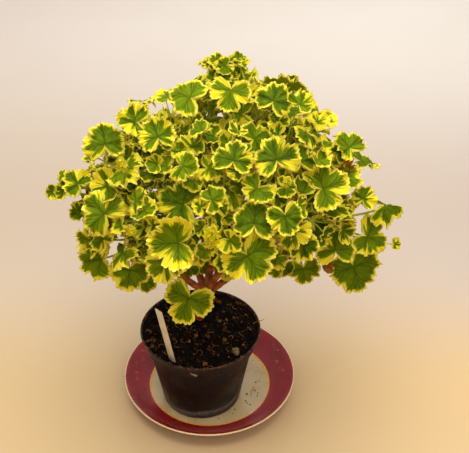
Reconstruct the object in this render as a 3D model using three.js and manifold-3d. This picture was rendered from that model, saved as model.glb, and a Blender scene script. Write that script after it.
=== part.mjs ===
// A variegated scented geranium in its black nursery pot, standing on an old china saucer.
// Millimetres, +Z up. While it is built, the pot's axis is the Z axis and the tabletop is z = 0.
// The last lines move the whole part so that the origin is the middle of its footprint.
import * as THREE from "three";
import { mergeVertices } from "three/addons/utils/BufferGeometryUtils.js";
import Module from "manifold-3d";

const wasm = await Module();
wasm.setup();

// Driving dimensions
const seatGap = 0.3; // between pieces that touch
const turned = 32; // sides of the saucer and the pot

const saucer = { centreX: 6.8, centreY: 12.3, rim: 77.8, top: 18.2, well: 54.2, wellTop: 5 };
saucer.footInside = 43;
saucer.footOutside = 46.5;
const pot = { height: 78, foot: 34.6, neck: 62.5, neckRadius: 45.7, rim: 52.5, wall: 1.3, floor: 3.2 };
pot.base = saucer.wellTop + seatGap;
const drain = { count: 5, radius: 3.6, ring: 19, sides: 6 };
const soil = { top: 75, edge: 49.6, mound: 2, lump: 1.1, sides: 24 };
const chip = { count: 9, long: 7.5, wide: 3.4, thick: 2.6, clearance: 12 };
const label = { width: 7.5, length: 103, thick: 0.8, buried: 35, pointed: 9, corner: 1.2, turn: 42 };
label.foot = new THREE.Vector3(-22.6, -38.2, 78.5); // where it enters the compost
label.head = new THREE.Vector3(-31, -48, 144.5);

// The crown is an egg-shaped dome that leans to the right. A place in it is a direction from its
// middle and a share of the way out.
const crown = { x: 17, y: 6, z: 221, across: 108, deep: 92, up: 92, down: 66, lean: 0.17 };
const trunk = { foot: [-5.9, 18.5, 48], fork: [5, 10, 118], footRadius: 5.2, forkRadius: 4.4 };
// Each limb leaves the trunk at a share of its height and goes on through two points to its end.
const limbs = [
  { from: 0.99, points: [[17, 12, 188], [24, 12, 266]] },
  { from: 0.96, points: [[-20, -4, 152], [-42, -6, 214]] },
  { from: 0.9, points: [[34, 6, 146], [58, 3, 200]] },
  { from: 0.97, points: [[22, -14, 168], [22, -30, 216]] },
  { from: 0.94, points: [[-10, 34, 160], [-20, 52, 226]] },
  { from: 0.92, points: [[36, 36, 158], [58, 54, 222]] },
];
const limbRadius = { foot: 3.2, end: 2.3 };
const budsPerLimb = 7;
const twigRadius = { foot: 1.2, middle: 1.7, end: 1.7 };
const shoots = { count: 37, base: 0.5, tip: 0.78, radius: 1.7, tipRadius: 1.4 };
const leaves = { thick: 0.8, petiole: 0.85, least: 12, most: 19, inner: 0.7, outer: 1.06 };
// The side that faced the window has grown thicker than the rest.
const litSide = { sites: 190, tries: 40 };
const allRound = { sites: 130, tries: 16 };

// Leaves that make the plant's outline and face, placed by hand: where the stalk meets the blade,
// the reach from there to the tip, the way the upper face looks as a bearing and a height in
// degrees, and the way the midrib points, counted from level and turning left.
const faceLeaves = [
  [-6, -46, 157, 21, -95, 40, 252],
  [-78, -22, 176, 20, -120, 25, 205],
  [-52, -48, 186, 18, -95, 28, 266],
  [-67, -54, 244, 20, -100, 40, 138],
  [-103, -10, 236, 10, -150, 30, 215],
  [-90, -20, 248, 13, -110, 55, 150],
  [-67, -20, 284, 18, -105, 42, 108],
  [-44, -14, 299, 14, -80, 50, 165],
  [126, -20, 167, 22.5, -75, 30, 280],
  [108, -42, 201, 17, -85, 38, 95],
  [147, -20, 228, 17, -60, 66, -25],
  [134, -30, 205, 18, -75, 40, 325],
  [95, -48, 263, 20, -85, 45, 15],
  [78, -40, 281, 13, -90, 50, 95],
  [116, -14, 277, 14, -60, 48, 110],
  [128, -30, 241, 11, -80, 52, 60],
  [-11, -84, 240, 22, -100, 34, 190],
  [39, -84, 228, 22, -85, 36, 300],
  [44, -74, 250, 18, -75, 44, 74],
  [-21, -80, 220, 18, -100, 30, 262],
  [-8, -66, 262, 20, -95, 42, 170],
  [60, -48, 288, 19, -85, 48, 100],
  [29, -54, 291, 16, -100, 46, 85],
  [18, 4, 325, 12, -110, 55, 150],
  [32, 12, 326, 11, -60, 55, 40],
  [27, -16, 327, 17, -90, 42, 262],
  [-3, -14, 320, 17, -120, 55, 178],
  [58, -16, 319, 15, -75, 52, 60],
  [77, -17, 315, 12, -60, 60, 40],
  [-26, -36, 300, 16, -105, 50, 120],
  [66, -72, 255, 15, -80, 40, 275],
];

// The line of sight from the front. Where a leaf placed by hand would cross another, it goes a few
// millimetres further or nearer along that line.
const sight = new THREE.Vector3(0, 0.8, -0.6);
const slides = [0, 3, -3, 6, -6, 9, -9, 12, -12, 15, -15, 18, -18, 21, 24, 27];

// Materials
const china = new THREE.MeshStandardMaterial({ color: 0x6e1a26, roughness: 0.18, metalness: 0 });
const plastic = new THREE.MeshStandardMaterial({ color: 0x17100e, roughness: 0.55, metalness: 0 });
const darkCompost = new THREE.MeshStandardMaterial({ color: 0x17100b, roughness: 0.95, metalness: 0 });
const whitePlastic = new THREE.MeshStandardMaterial({ color: 0xd8ccb4, roughness: 0.4, metalness: 0 });
const bark = new THREE.MeshStandardMaterial({ color: 0x6b3a16, roughness: 0.8, metalness: 0 });
const foliage = new THREE.MeshStandardMaterial({ color: 0x7fa01c, roughness: 0.5, metalness: 0 });

// A closed geometry as a solid, with its faces turned outwards.
function solidOf(geometry) {
  const bare = new THREE.BufferGeometry().setAttribute("position", geometry.getAttribute("position"));
  bare.setIndex(geometry.getIndex());
  const merged = mergeVertices(bare, 1e-4);
  const corners = [];
  for (let i = 0; i < merged.index.count; i += 3) {
    const [a, b, c] = [merged.index.getX(i), merged.index.getX(i + 1), merged.index.getX(i + 2)];
    if (a !== b && b !== c && c !== a) corners.push(a, b, c);
  }
  const build = (triVerts) =>
    new wasm.Manifold(
      new wasm.Mesh({ numProp: 3, vertProperties: merged.attributes.position.array, triVerts }),
    );
  const made = build(new Uint32Array(corners));
  return made.volume() > 0 ? made : build(new Uint32Array(corners.reverse()));
}

function piece(name, solid, material) {
  const mesh = solid.getMesh();
  const geometry = new THREE.BufferGeometry();
  geometry.setAttribute("position", new THREE.BufferAttribute(mesh.vertProperties, 3));
  geometry.setIndex(new THREE.BufferAttribute(mesh.triVerts, 1));
  geometry.computeVertexNormals();
  const made = new THREE.Mesh(geometry, material);
  made.name = name;
  return made;
}

// A profile of [radius, height] points turned about the Z axis.
function turnedSolid(profile, sides) {
  const points = profile.map(([r, z]) => new THREE.Vector2(r, z));
  return solidOf(new THREE.LatheGeometry(points, sides).rotateX(Math.PI / 2));
}

// A tube through the points, with a radius at each of them. Its end lies square to the line, or to
// the direction given.
function tube(points, radii, sides, endFacing) {
  const position = [];
  const index = [];
  const along = new THREE.Vector3();
  const across = new THREE.Vector3();
  points.forEach((p, i) => {
    along.subVectors(points[Math.min(i + 1, points.length - 1)], points[Math.max(i - 1, 0)]).normalize();
    if (endFacing && i === points.length - 1)
      along.copy(endFacing).multiplyScalar(Math.sign(along.dot(endFacing)));
    if (i === 0) across.set(0, 0, 1).addScaledVector(along, -along.z);
    if (i === 0 && across.lengthSq() < 0.01) across.set(1, 0, 0);
    across.addScaledVector(along, -across.dot(along)).normalize();
    const third = new THREE.Vector3().crossVectors(along, across);
    for (let k = 0; k < sides; k++) {
      const a = (k / sides) * 2 * Math.PI;
      const corner = p.clone().addScaledVector(across, radii[i] * Math.cos(a));
      corner.addScaledVector(third, radii[i] * Math.sin(a));
      position.push(corner.x, corner.y, corner.z);
    }
  });
  for (let i = 0; i + 1 < points.length; i++)
    for (let k = 0; k < sides; k++) {
      const a = i * sides + k;
      const b = i * sides + ((k + 1) % sides);
      index.push(a, b, b + sides, a, b + sides, a + sides);
    }
  const last = (points.length - 1) * sides;
  for (let k = 1; k + 1 < sides; k++) index.push(0, k + 1, k, last, last + k, last + k + 1);
  const geometry = new THREE.BufferGeometry();
  geometry.setAttribute("position", new THREE.Float32BufferAttribute(position, 3));
  geometry.setIndex(index);
  return solidOf(geometry);
}

// The same run of numbers from 0 to 1 for the same seed.
function dice(seed) {
  let state = seed;
  return () => {
    state = (state * 48271) % 2147483647;
    return state / 2147483647;
  };
}

const radians = (degrees) => (degrees * Math.PI) / 180;

function bearing(degreesRound, degreesUp) {
  const flat = Math.cos(radians(degreesUp));
  return new THREE.Vector3(
    flat * Math.cos(radians(degreesRound)),
    flat * Math.sin(radians(degreesRound)),
    Math.sin(radians(degreesUp)),
  );
}

// The saucer: a flat well, a concave band up to a rounded lip, and a foot ring under it
function saucerSolid() {
  const { rim, top, well, wellTop, footInside, footOutside } = saucer;
  const profile = [
    [0, 1.6],
    [footInside - 0.6, 1.6],
    [footInside, 0],
    [footOutside, 0],
    [footOutside + 1.8, 2],
    [61, 4.6],
    [rim - 6.5, 10.6],
    [rim, top - 1.2],
    [rim - 1, top],
    [rim - 7.6, top - 4.4],
    [well + 7, wellTop + 3],
    [well, wellTop],
    [0, wellTop],
  ];
  return turnedSolid(profile, turned).translate([saucer.centreX, saucer.centreY, 0]);
}

// The pot: a thin tapered wall, a stepped collar that flares to the rim, a raised floor with holes
function potSolid() {
  const { height, foot, neck, neckRadius, rim, wall, floor } = pot;
  const profile = [
    [0, 1.5],
    [foot - 5.6, 1.5],
    [foot - 4.6, 0],
    [foot - 1.2, 0],
    [foot, 1.5],
    [neckRadius, neck],
    [neckRadius + 2.4, neck + 1],
    [rim - 0.9, height - 1.8],
    [rim, height - 0.8],
    [rim - 0.2, height],
    [rim - wall, height],
    [rim - wall - 0.8, height - 1.5],
    [neckRadius + 2.4 - wall, neck + 1.4],
    [neckRadius - wall, neck + 0.1],
    [foot - wall, floor],
    [0, floor],
  ];
  const holes = Array.from({ length: drain.count }, (_, i) => {
    const a = ((i + 0.5) / drain.count) * 2 * Math.PI;
    const at = new THREE.Vector3(drain.ring * Math.cos(a), drain.ring * Math.sin(a), 0);
    return tube([at, at.clone().setZ(floor + 1)], [drain.radius, drain.radius], drain.sides);
  });
  const cup = holes.reduce((body, hole) => body.subtract(hole), turnedSolid(profile, turned));
  return cup.translate([0, 0, pot.base]);
}

// The height of the compost, which is heaped a little in the middle and lumpy
function compostHeight(x, y) {
  const inward = 1 - (x * x + y * y) / (soil.edge * soil.edge);
  const lumps = Math.sin(x * 0.31 + 1) * Math.cos(y * 0.27) + 0.6 * Math.sin(x * 0.13 - y * 0.37);
  return pot.base + soil.top + soil.mound * inward + soil.lump * lumps * Math.min(1, inward * 6);
}

function compostSolid() {
  const wallGap = seatGap + 0.1;
  const inside = pot.neckRadius - pot.wall - wallGap;
  const profile = [
    [0, pot.floor + seatGap],
    [pot.foot - pot.wall - wallGap, pot.floor + seatGap],
    [inside, pot.neck],
    [inside + 2.4, pot.neck + 1.8],
    [soil.edge, soil.top],
    [41, soil.top + 1],
    [32, soil.top + 1],
    [22, soil.top + 1],
    [11, soil.top + 1],
    [0, soil.top + 1],
  ];
  const points = profile.map(([r, z]) => new THREE.Vector2(r, z + pot.base));
  const heap = new THREE.LatheGeometry(points, soil.sides).rotateX(Math.PI / 2);
  const place = heap.attributes.position;
  for (let i = 0; i < place.count; i++) {
    if (place.getZ(i) < pot.base + soil.top + 0.5) continue;
    place.setZ(i, compostHeight(place.getX(i), place.getY(i)));
  }
  const chips = chipPlaces().map(([x, y, turn]) => {
    const box = new THREE.BoxGeometry(chip.long, chip.wide, chip.thick);
    box.rotateX(turn * 0.5).rotateY(turn - 0.4).rotateZ(turn * 7);
    return solidOf(box.translate(x, y, compostHeight(x, y) + 0.2));
  });
  const heaped = wasm.Manifold.union([solidOf(heap), ...chips]);
  return heaped.subtract(trunkSolid(seatGap)).subtract(labelSolid(seatGap));
}

// Bark chips lie clear of the stem, the label, each other and the pot's wall.
function chipPlaces() {
  const roll = dice(77);
  const stem = upTrunk(0.42);
  const made = [];
  while (made.length < chip.count) {
    const [round, out, turn] = [roll() * 2 * Math.PI, 9 + 30 * Math.sqrt(roll()), roll()];
    const [x, y] = [out * Math.cos(round), out * Math.sin(round)];
    const free = (a, b, room) => Math.hypot(x - a, y - b) > room;
    const standing = [stem, label.foot];
    if (!standing.every((thing) => free(thing.x, thing.y, chip.clearance))) continue;
    if (made.every(([a, b]) => free(a, b, chip.long + 1))) made.push([x, y, turn]);
  }
  return made;
}

// The label: a flat strip with a pointed end, pushed into the compost at a lean. Grown all round, it
// is the slot that it stands in.
function labelSolid(grown = 0) {
  const half = label.width / 2 + grown;
  const shape = new THREE.Shape();
  shape.moveTo(0, -grown);
  shape.lineTo(half, label.pointed);
  shape.lineTo(half, label.length - label.corner);
  shape.lineTo(half - label.corner, label.length);
  shape.lineTo(label.corner - half, label.length);
  shape.lineTo(-half, label.length - label.corner);
  shape.lineTo(-half, label.pointed);
  const thick = label.thick + 2 * grown;
  const strip = new THREE.ExtrudeGeometry(shape, { depth: thick, bevelEnabled: false });
  strip.translate(0, 0, -thick / 2);
  const along = label.head.clone().sub(label.foot).normalize();
  const wide = new THREE.Vector3(Math.cos(radians(label.turn)), -Math.sin(radians(label.turn)), 0);
  wide.addScaledVector(along, -wide.dot(along)).normalize();
  const turn = new THREE.Matrix4().makeBasis(wide, along, new THREE.Vector3().crossVectors(wide, along));
  turn.setPosition(label.foot.clone().addScaledVector(along, -label.buried));
  return solidOf(strip.applyMatrix4(turn));
}

// Places in the crown
const crownMiddle = new THREE.Vector3(crown.x, crown.y, crown.z);

function inCrown(way, share) {
  const height = way.z * (way.z > 0 ? crown.up : crown.down);
  return new THREE.Vector3(way.x * crown.across + crown.lean * height, way.y * crown.deep, height)
    .multiplyScalar(share)
    .add(crownMiddle);
}

function wayTo(point) {
  const p = point.clone().sub(crownMiddle);
  const height = p.z > 0 ? crown.up : crown.down;
  return new THREE.Vector3((p.x - crown.lean * p.z) / crown.across, p.y / crown.deep, p.z / height);
}

// Directions spread evenly from the top down by the golden angle.
function spread(i, count, top, bottom) {
  const z = top - ((top - bottom) * (i + 0.5)) / count;
  const flat = Math.sqrt(1 - z * z);
  const round = i * Math.PI * (3 - Math.sqrt(5));
  return new THREE.Vector3(flat * Math.cos(round), flat * Math.sin(round), z);
}

// The foliage ends above a sloping plane, so that the pot's mouth stays in the open.
const skirt = { level: 158, rise: 0.83 };
const aboveSkirt = (p) => p.z > skirt.level - skirt.rise * p.y;

// The corners round a three-lobed blade: degrees from the midrib, share of the reach, and which way
// the margin waves there. The first is the end of the stalk, in the notch. Small leaves have fewer.
function outline(halfBlade) {
  const other = halfBlade.map(([degrees, share, lift]) => [-degrees, share, lift]);
  return [[0, 0, 0], ...other, [0, 1.02, 0.9], ...[...halfBlade].reverse()];
}
const bigBlade = outline([
  [139, 0.56, 0.7],
  [116, 0.9, -0.9],
  [91, 1, 0.9],
  [66, 0.93, -0.7],
  [45, 0.58, 1],
  [23, 0.94, -0.8],
]);
const smallBlade = outline([
  [139, 0.58, 0.7],
  [109, 0.96, -0.8],
  [75, 1, 0.8],
  [45, 0.58, -0.6],
  [21, 0.95, 0.5],
]);
const bigReach = 15.5;
const wave = 0.13; // of the reach
const cup = 0.1; // how far a blade's margin rises over its middle, as a share of the reach

function bladeCorner(leaf, [degrees, share, lift], side) {
  const r = leaf.reach * share;
  const up = leaf.reach * (wave * lift * share + cup * share * share) + (side * leaves.thick) / 2;
  return leaf.at
    .clone()
    .addScaledVector(leaf.ahead, r * Math.cos(radians(degrees)))
    .addScaledVector(leaf.left, r * Math.sin(radians(degrees)))
    .addScaledVector(leaf.face, up);
}

function makeLeaf(at, reach, face, ahead) {
  const midrib = ahead.clone().addScaledVector(face, -ahead.dot(face)).normalize();
  const left = new THREE.Vector3().crossVectors(face, midrib);
  const middle = at.clone().addScaledVector(midrib, reach * 0.15);
  const leaf = { at, reach, face, ahead: midrib, left, middle };
  leaf.outline = reach > bigReach ? bigBlade : smallBlade;
  leaf.rim = leaf.outline.map((corner) => bladeCorner(leaf, corner, 0));
  leaf.marks = [...leaf.rim, ...leaf.rim.slice(1).map((p) => p.clone().lerp(at, 0.45))];
  return leaf;
}

// Each stalk leaves its shoot a step below the one before it.
const stalkStep = 0.15;

// A stalk comes up to its blade from behind, at this slope or steeper.
const leastRise = 0.4;

// The stalk runs from the shoot to the notch of the blade in one bow, and on under the blade.
function stalkOf(leaf, shoot) {
  const start = shoot.tip.clone().lerp(shoot.base, 0.04 + stalkStep * (shoot.leaves.length % 6));
  const run = start.distanceTo(leaf.at);
  const bow = leaf.at.clone().addScaledVector(leaf.face, -0.36 * run);
  bow.addScaledVector(leaf.ahead, -0.22 * run);
  const marks = [];
  for (let i = 1; i <= 8; i++) {
    const t = i / 9;
    const mark = start.clone().multiplyScalar((1 - t) * (1 - t));
    mark.addScaledVector(bow, 2 * t * (1 - t)).addScaledVector(leaf.at, t * t);
    mark.radius = leaves.petiole;
    marks.push(mark);
  }
  const middle = start.clone().lerp(leaf.at, 0.5).lerp(bow, 0.5);
  const rise = leaf.at.clone().sub(middle).normalize().dot(leaf.face);
  return { start, middle, marks, rise };
}

// How far the marked points of two things must lie apart, so that the things don't meet.
const clearance = { blade: 1.3, stalkOnBlade: 1.6, stemOnBlade: 2.4, woodOnBlade: 3, stalk: 2.3 };

// True if none of the points lies in the slab that the leaf's waved blade fills.
function clearOf(leaf, points, room) {
  const slab = leaf.reach * (wave + 0.04) + room;
  return points.every((p) => {
    const offset = p.clone().sub(leaf.middle);
    const high = offset.dot(leaf.face) - leaf.reach * cup * 0.5;
    return Math.abs(high) > slab || offset.lengthSq() - high * high > (leaf.reach + room) ** 2;
  });
}

// True if a stalk's points keep off the other points, each of which carries its branch's radius.
const apart = (stalk, others) =>
  stalk.every((a) => others.every((b) => a.distanceTo(b) > b.radius + clearance.stalk));

// Points a few millimetres apart along a line, which carry the radius of the branch there.
function stepsAlong(points, radius) {
  const made = [];
  for (let i = 0; i + 1 < points.length; i++) {
    const parts = Math.ceil(points[i].distanceTo(points[i + 1]) / 3);
    for (let k = 0; k <= parts; k++) {
      const mark = points[i].clone().lerp(points[i + 1], k / parts);
      mark.radius = radius;
      made.push(mark);
    }
  }
  return made;
}

// Shoots, and the wood that carries them
function makeShoots() {
  const made = [];
  for (let i = 0; i < shoots.count; i++) {
    const way = spread(i, shoots.count, 0.99, -0.5);
    const tip = inCrown(way, shoots.tip);
    if (!aboveSkirt(tip)) continue;
    const base = inCrown(way, shoots.base);
    made.push({ way, tip, base, leaves: [], marks: stepsAlong([base, tip], shoots.radius) });
  }
  return made;
}

const fork = new THREE.Vector3(...trunk.fork);

const upTrunk = (share) => {
  const foot = new THREE.Vector3(...trunk.foot);
  return foot.lerp(fork, share);
};

function makeLimbs() {
  return limbs.map(({ from, points }) => {
    const [bend, end] = points.map((p) => new THREE.Vector3(...p));
    return [upTrunk(from), bend, end];
  });
}

// Places on a limb's upper part that a twig can leave from.
function budsOn([, bend, end]) {
  return Array.from({ length: budsPerLimb }, (_, i) => bend.clone().lerp(end, (i + 1) / budsPerLimb));
}

// A twig leaves the nearest free bud from where it passes no other shoot, and reaches its own shoot
// along that shoot's line.
function twigTo(shoot, buds, others) {
  const along = shoot.tip.clone().sub(shoot.base).normalize();
  const end = shoot.base.clone().addScaledVector(along, -seatGap);
  const far = (bud) => bud.distanceTo(end) + Math.max(0, bud.z - end.z);
  const order = [...buds].sort((a, b) => far(a) - far(b));
  const lines = order.map((start) => {
    const bend = end.clone().addScaledVector(along, -start.distanceTo(end) * 0.3);
    return [start, bend, end];
  });
  const chosen = lines.find((line) => apart(stepsAlong(line, twigRadius.middle), others)) ?? lines[0];
  buds.splice(buds.indexOf(chosen[0]), 1);
  return chosen;
}

const nearestShoots = (way, count) =>
  [...allShoots].sort((a, b) => b.way.dot(way) - a.way.dot(way)).slice(0, count);

// Leaves, each on a near shoot, kept where they cross nothing that is already there
const grown = [];

function add(leaf, shoot) {
  const stalk = stalkOf(leaf, shoot);
  if (stalk.rise < leastRise) return false;
  const { blade, stalkOnBlade, stemOnBlade, woodOnBlade } = clearance;
  for (const other of grown) {
    if (other.middle.distanceTo(leaf.middle) > other.reach + leaf.reach + 60) continue;
    if (!clearOf(other, leaf.marks, blade) || !clearOf(leaf, other.marks, blade)) return false;
    if (!clearOf(other, stalk.marks, stalkOnBlade)) return false;
    if (!clearOf(leaf, other.stalk.marks, stalkOnBlade)) return false;
    if (other.shoot !== shoot && !apart(stalk.marks, other.stalk.marks)) return false;
  }
  if (!clearOf(leaf, woodMarks, woodOnBlade) || !apart(stalk.marks, woodMarks)) return false;
  for (const each of allShoots) {
    if (!clearOf(leaf, each.marks, stemOnBlade)) return false;
    if (each !== shoot && !apart(stalk.marks, each.marks)) return false;
  }
  grown.push({ ...leaf, stalk, shoot });
  shoot.leaves.push(grown[grown.length - 1]);
  return true;
}

function addFaceLeaves() {
  for (const [x, y, z, reach, round, up, turn] of faceLeaves) {
    const face = bearing(round, up);
    const level = new THREE.Vector3(0, 0, 1).cross(face).normalize();
    const ahead = level.clone().applyAxisAngle(face, radians(turn));
    const at = new THREE.Vector3(x, y, z);
    const near = nearestShoots(wayTo(at).normalize(), 4);
    slides
      .map((step) => makeLeaf(at.clone().addScaledVector(sight, step), reach, face, ahead))
      .some((leaf) => near.some((shoot) => add(leaf, shoot)));
  }
}

// One leaf for each site of an even spread, swayed a little, faced outwards and up, and dropped
// where none of its tries finds room.
function scatter({ sites, tries }, roll, wanted) {
  for (let i = 0; i < sites; i++) {
    const way = spread(i, sites, 0.98, -0.6);
    for (let k = 0; k < tries; k++) {
      const draws = Array.from({ length: 8 }, roll);
      const sway = new THREE.Vector3(draws[0] - 0.5, draws[1] - 0.5, draws[2] - 0.5);
      const where = way.clone().addScaledVector(sway, 0.35).normalize();
      const at = inCrown(where, leaves.inner + (leaves.outer - leaves.inner) * draws[3]);
      if (!aboveSkirt(at) || !wanted(where)) continue;
      const reach = leaves.least + (leaves.most - leaves.least) * draws[4];
      const tilt = new THREE.Vector3(draws[5] - 0.5, draws[6] - 0.5, draws[7] - 0.5);
      const out = new THREE.Vector3(where.x / crown.across, where.y / crown.deep, where.z / crown.up);
      const face = out.normalize().multiplyScalar(0.8).addScaledVector(tilt, 1.1);
      face.z += 0.4;
      face.normalize();
      const [shoot] = nearestShoots(where, 1);
      if (add(makeLeaf(at, reach, face, at.clone().sub(shoot.tip)), shoot)) break;
    }
  }
}

function bladeSolid(leaf) {
  const count = leaf.outline.length;
  const position = [1, -1].flatMap((side) =>
    leaf.outline.flatMap((corner) => bladeCorner(leaf, corner, side).toArray()),
  );
  const index = [];
  for (let i = 1; i + 1 < count; i++) index.push(0, i, i + 1, count, count + i + 1, count + i);
  for (let i = 0; i < count; i++) {
    const j = (i + 1) % count;
    index.push(i, count + i, count + j, i, count + j, j);
  }
  const geometry = new THREE.BufferGeometry();
  geometry.setAttribute("position", new THREE.Float32BufferAttribute(position, 3));
  geometry.setIndex(index);
  return solidOf(geometry);
}

function stalkSolid(leaf) {
  const { start, middle } = leaf.stalk;
  const midrib = leaf.rim.length / 2;
  const inBlade = leaf.rim[midrib].clone().lerp(leaf.rim[midrib + 1], 0.5);
  const end = leaf.at.clone().lerp(inBlade, 0.4);
  const radii = [leaves.petiole * 0.7, leaves.petiole, leaves.petiole * 0.75];
  return tube([start, middle, end], radii, 3, leaf.face);
}

function shootSolid(shoot) {
  const stem = tube([shoot.base, shoot.tip], [shoots.radius, shoots.tipRadius], 4);
  const parts = shoot.leaves.flatMap((leaf) => [bladeSolid(leaf), stalkSolid(leaf)]);
  return wasm.Manifold.union([stem, ...parts]);
}

// The main stem from deep in the compost to the fork. Grown, it is its own hole.
function trunkSolid(grown = 0) {
  const waist = upTrunk(0.55).add(new THREE.Vector3(-1.5, 0, 0));
  const radii = [trunk.footRadius, trunk.footRadius * 0.88, trunk.forkRadius].map((r) => r + grown * 1.1);
  const end = upTrunk(-grown / 70);
  return tube([end, waist, fork], radii, 8);
}

function woodSolid(allLimbs, twigs) {
  const parts = [trunkSolid()];
  const limb = [limbRadius.foot, (limbRadius.foot + limbRadius.end) / 2, limbRadius.end];
  for (const points of allLimbs) parts.push(tube(points, limb, 5));
  const twig = [twigRadius.foot, twigRadius.middle, twigRadius.end];
  for (const points of twigs) parts.push(tube(points, twig, 4));
  return wasm.Manifold.union(parts);
}

const allShoots = makeShoots();
const allLimbs = makeLimbs();
const buds = allLimbs.flatMap(budsOn);
const twigs = allShoots.map((shoot) => {
  const others = allShoots.filter((each) => each !== shoot);
  return twigTo(shoot, buds, others.flatMap((each) => each.marks));
});
const woodMarks = [
  ...stepsAlong([upTrunk(0), fork], trunk.footRadius),
  ...allLimbs.flatMap((points) => stepsAlong(points, limbRadius.foot)),
  ...twigs.flatMap((points) => stepsAlong(points, twigRadius.middle)),
];
addFaceLeaves();
const roll = dice(20261);
scatter(litSide, roll, (where) => where.dot(sight) < -0.15);
scatter(allRound, roll, () => true);

const plant = new THREE.Group();
plant.add(piece("saucer", saucerSolid(), china));
plant.add(piece("pot", potSolid(), plastic));
plant.add(piece("compost", compostSolid(), darkCompost));
plant.add(piece("label", labelSolid(), whitePlastic));
plant.add(piece("wood", woodSolid(allLimbs, twigs), bark));
allShoots.forEach((shoot, i) => {
  const name = `shoot_${String(i + 1).padStart(2, "0")}`;
  plant.add(piece(name, shootSolid(shoot), foliage));
});

// The origin is the middle of the footprint, on the tabletop.
const bounds = new THREE.Box3().setFromObject(plant);
const middle = bounds.getCenter(new THREE.Vector3());
plant.position.set(-middle.x, -middle.y, -bounds.min.z);
const whole = new THREE.Group();
whole.add(plant);

export default whole;
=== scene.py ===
# A variegated scented geranium in its black nursery pot, standing on an old china saucer.
# The plans below are in millimetres from the pot's axis and the tabletop, as in the part's source.
# The plant is grown by the same rule and the same seeds as the solids, so each fine shoot stands
# where its solid does. Small leaves, young tips, chips and crumbs are added to it.
import math

import bpy
import numpy as np
from mathutils import Matrix, Vector, noise


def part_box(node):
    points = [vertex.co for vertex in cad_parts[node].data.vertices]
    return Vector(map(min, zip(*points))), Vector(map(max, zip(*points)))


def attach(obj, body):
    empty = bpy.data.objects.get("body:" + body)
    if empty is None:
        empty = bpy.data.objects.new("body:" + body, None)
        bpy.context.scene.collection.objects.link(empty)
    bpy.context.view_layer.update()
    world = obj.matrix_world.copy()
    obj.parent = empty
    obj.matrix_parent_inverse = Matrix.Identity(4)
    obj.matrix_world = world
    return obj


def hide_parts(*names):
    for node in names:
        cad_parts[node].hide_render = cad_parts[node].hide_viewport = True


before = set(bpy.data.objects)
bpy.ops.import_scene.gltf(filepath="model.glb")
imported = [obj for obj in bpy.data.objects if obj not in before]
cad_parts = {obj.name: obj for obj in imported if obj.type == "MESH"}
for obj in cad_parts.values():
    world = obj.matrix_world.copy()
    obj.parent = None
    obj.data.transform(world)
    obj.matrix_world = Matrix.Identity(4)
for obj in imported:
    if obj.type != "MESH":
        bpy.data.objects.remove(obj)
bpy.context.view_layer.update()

MM = 0.001
FULL_TURN = 6.28
LEAF_SPIRAL = 137.5
UP = np.array([0, 0, 1.0])
pot_low, pot_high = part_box("pot")
ORIGIN = np.array([(pot_low.x + pot_high.x) / 2, (pot_low.y + pot_high.y) / 2, 0.0])

# Sizes of the saucer, the pot, the compost and the label
SEAT_GAP = 0.3
SAUCER = dict(x=6.8, y=12.3, rim=77.8, top=18.2, well=54.2, well_top=5, foot_in=43, foot_out=46.5)
POT = dict(height=78, foot=34.6, neck=62.5, neck_radius=45.7, rim=52.5, wall=1.3, floor=3.2, base=5.3)
DRAIN = dict(count=5, radius=3.6, ring=19)
SOIL = dict(top=75, edge=49.6, mound=2, lump=1.1)
LABEL = dict(width=7.5, length=103, thick=0.8, buried=35, pointed=9, turn=42)
LABEL_FOOT = np.array([-22.6, -38.2, 78.5])
LABEL_HEAD = np.array([-31, -48, 144.5])

# The plan of the plant
CROWN_MIDDLE = np.array([17.0, 6.0, 221.0])
CROWN = dict(across=108, deep=92, up=92, down=66, lean=0.17)
TRUNK_FOOT = np.array([-5.9, 18.5, 48.0])
FORK = np.array([5.0, 10.0, 118.0])
LIMBS = [
    (0.99, (17, 12, 188), (24, 12, 266)),
    (0.96, (-20, -4, 152), (-42, -6, 214)),
    (0.9, (34, 6, 146), (58, 3, 200)),
    (0.97, (22, -14, 168), (22, -30, 216)),
    (0.94, (-10, 34, 160), (-20, 52, 226)),
    (0.92, (36, 36, 158), (58, 54, 222)),
]
TRUNK_RADIUS, LIMB_RADIUS, TWIG_RADIUS, PETIOLE = 5.2, 3.2, 1.7, 0.85
BUDS_PER_LIMB = 7
SHOOTS = dict(count=37, base=0.5, tip=0.78, radius=1.7)
BIG_REACH = 15.5
TOP_LEAVES = 285
WAVE = 0.13
CUP = 0.1
STALK_STEP = 0.15
LEAST_RISE = 0.4
SWAY, TILT, LIFT = 0.35, 1.1, 0.4
SLIDES = [0, 3, -3, 6, -6, 9, -9, 12, -12, 15, -15, 18, -18, 21, 24, 27]
CLEARANCE = dict(blade=1.3, stalk_on_blade=1.6, stem_on_blade=2.4, wood_on_blade=3, stalk=2.3)

# The camera: where it stands, how far it looks down, its lens, and the picture's size in pixels
SIGHT = np.array([0, 0.8, -0.6])
EYE = np.array([29.7, -697.7, 707.5])
LOOKS_DOWN = 36.42
LENS = 1068
PICTURE = (469, 453)
SENSOR = 36

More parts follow.
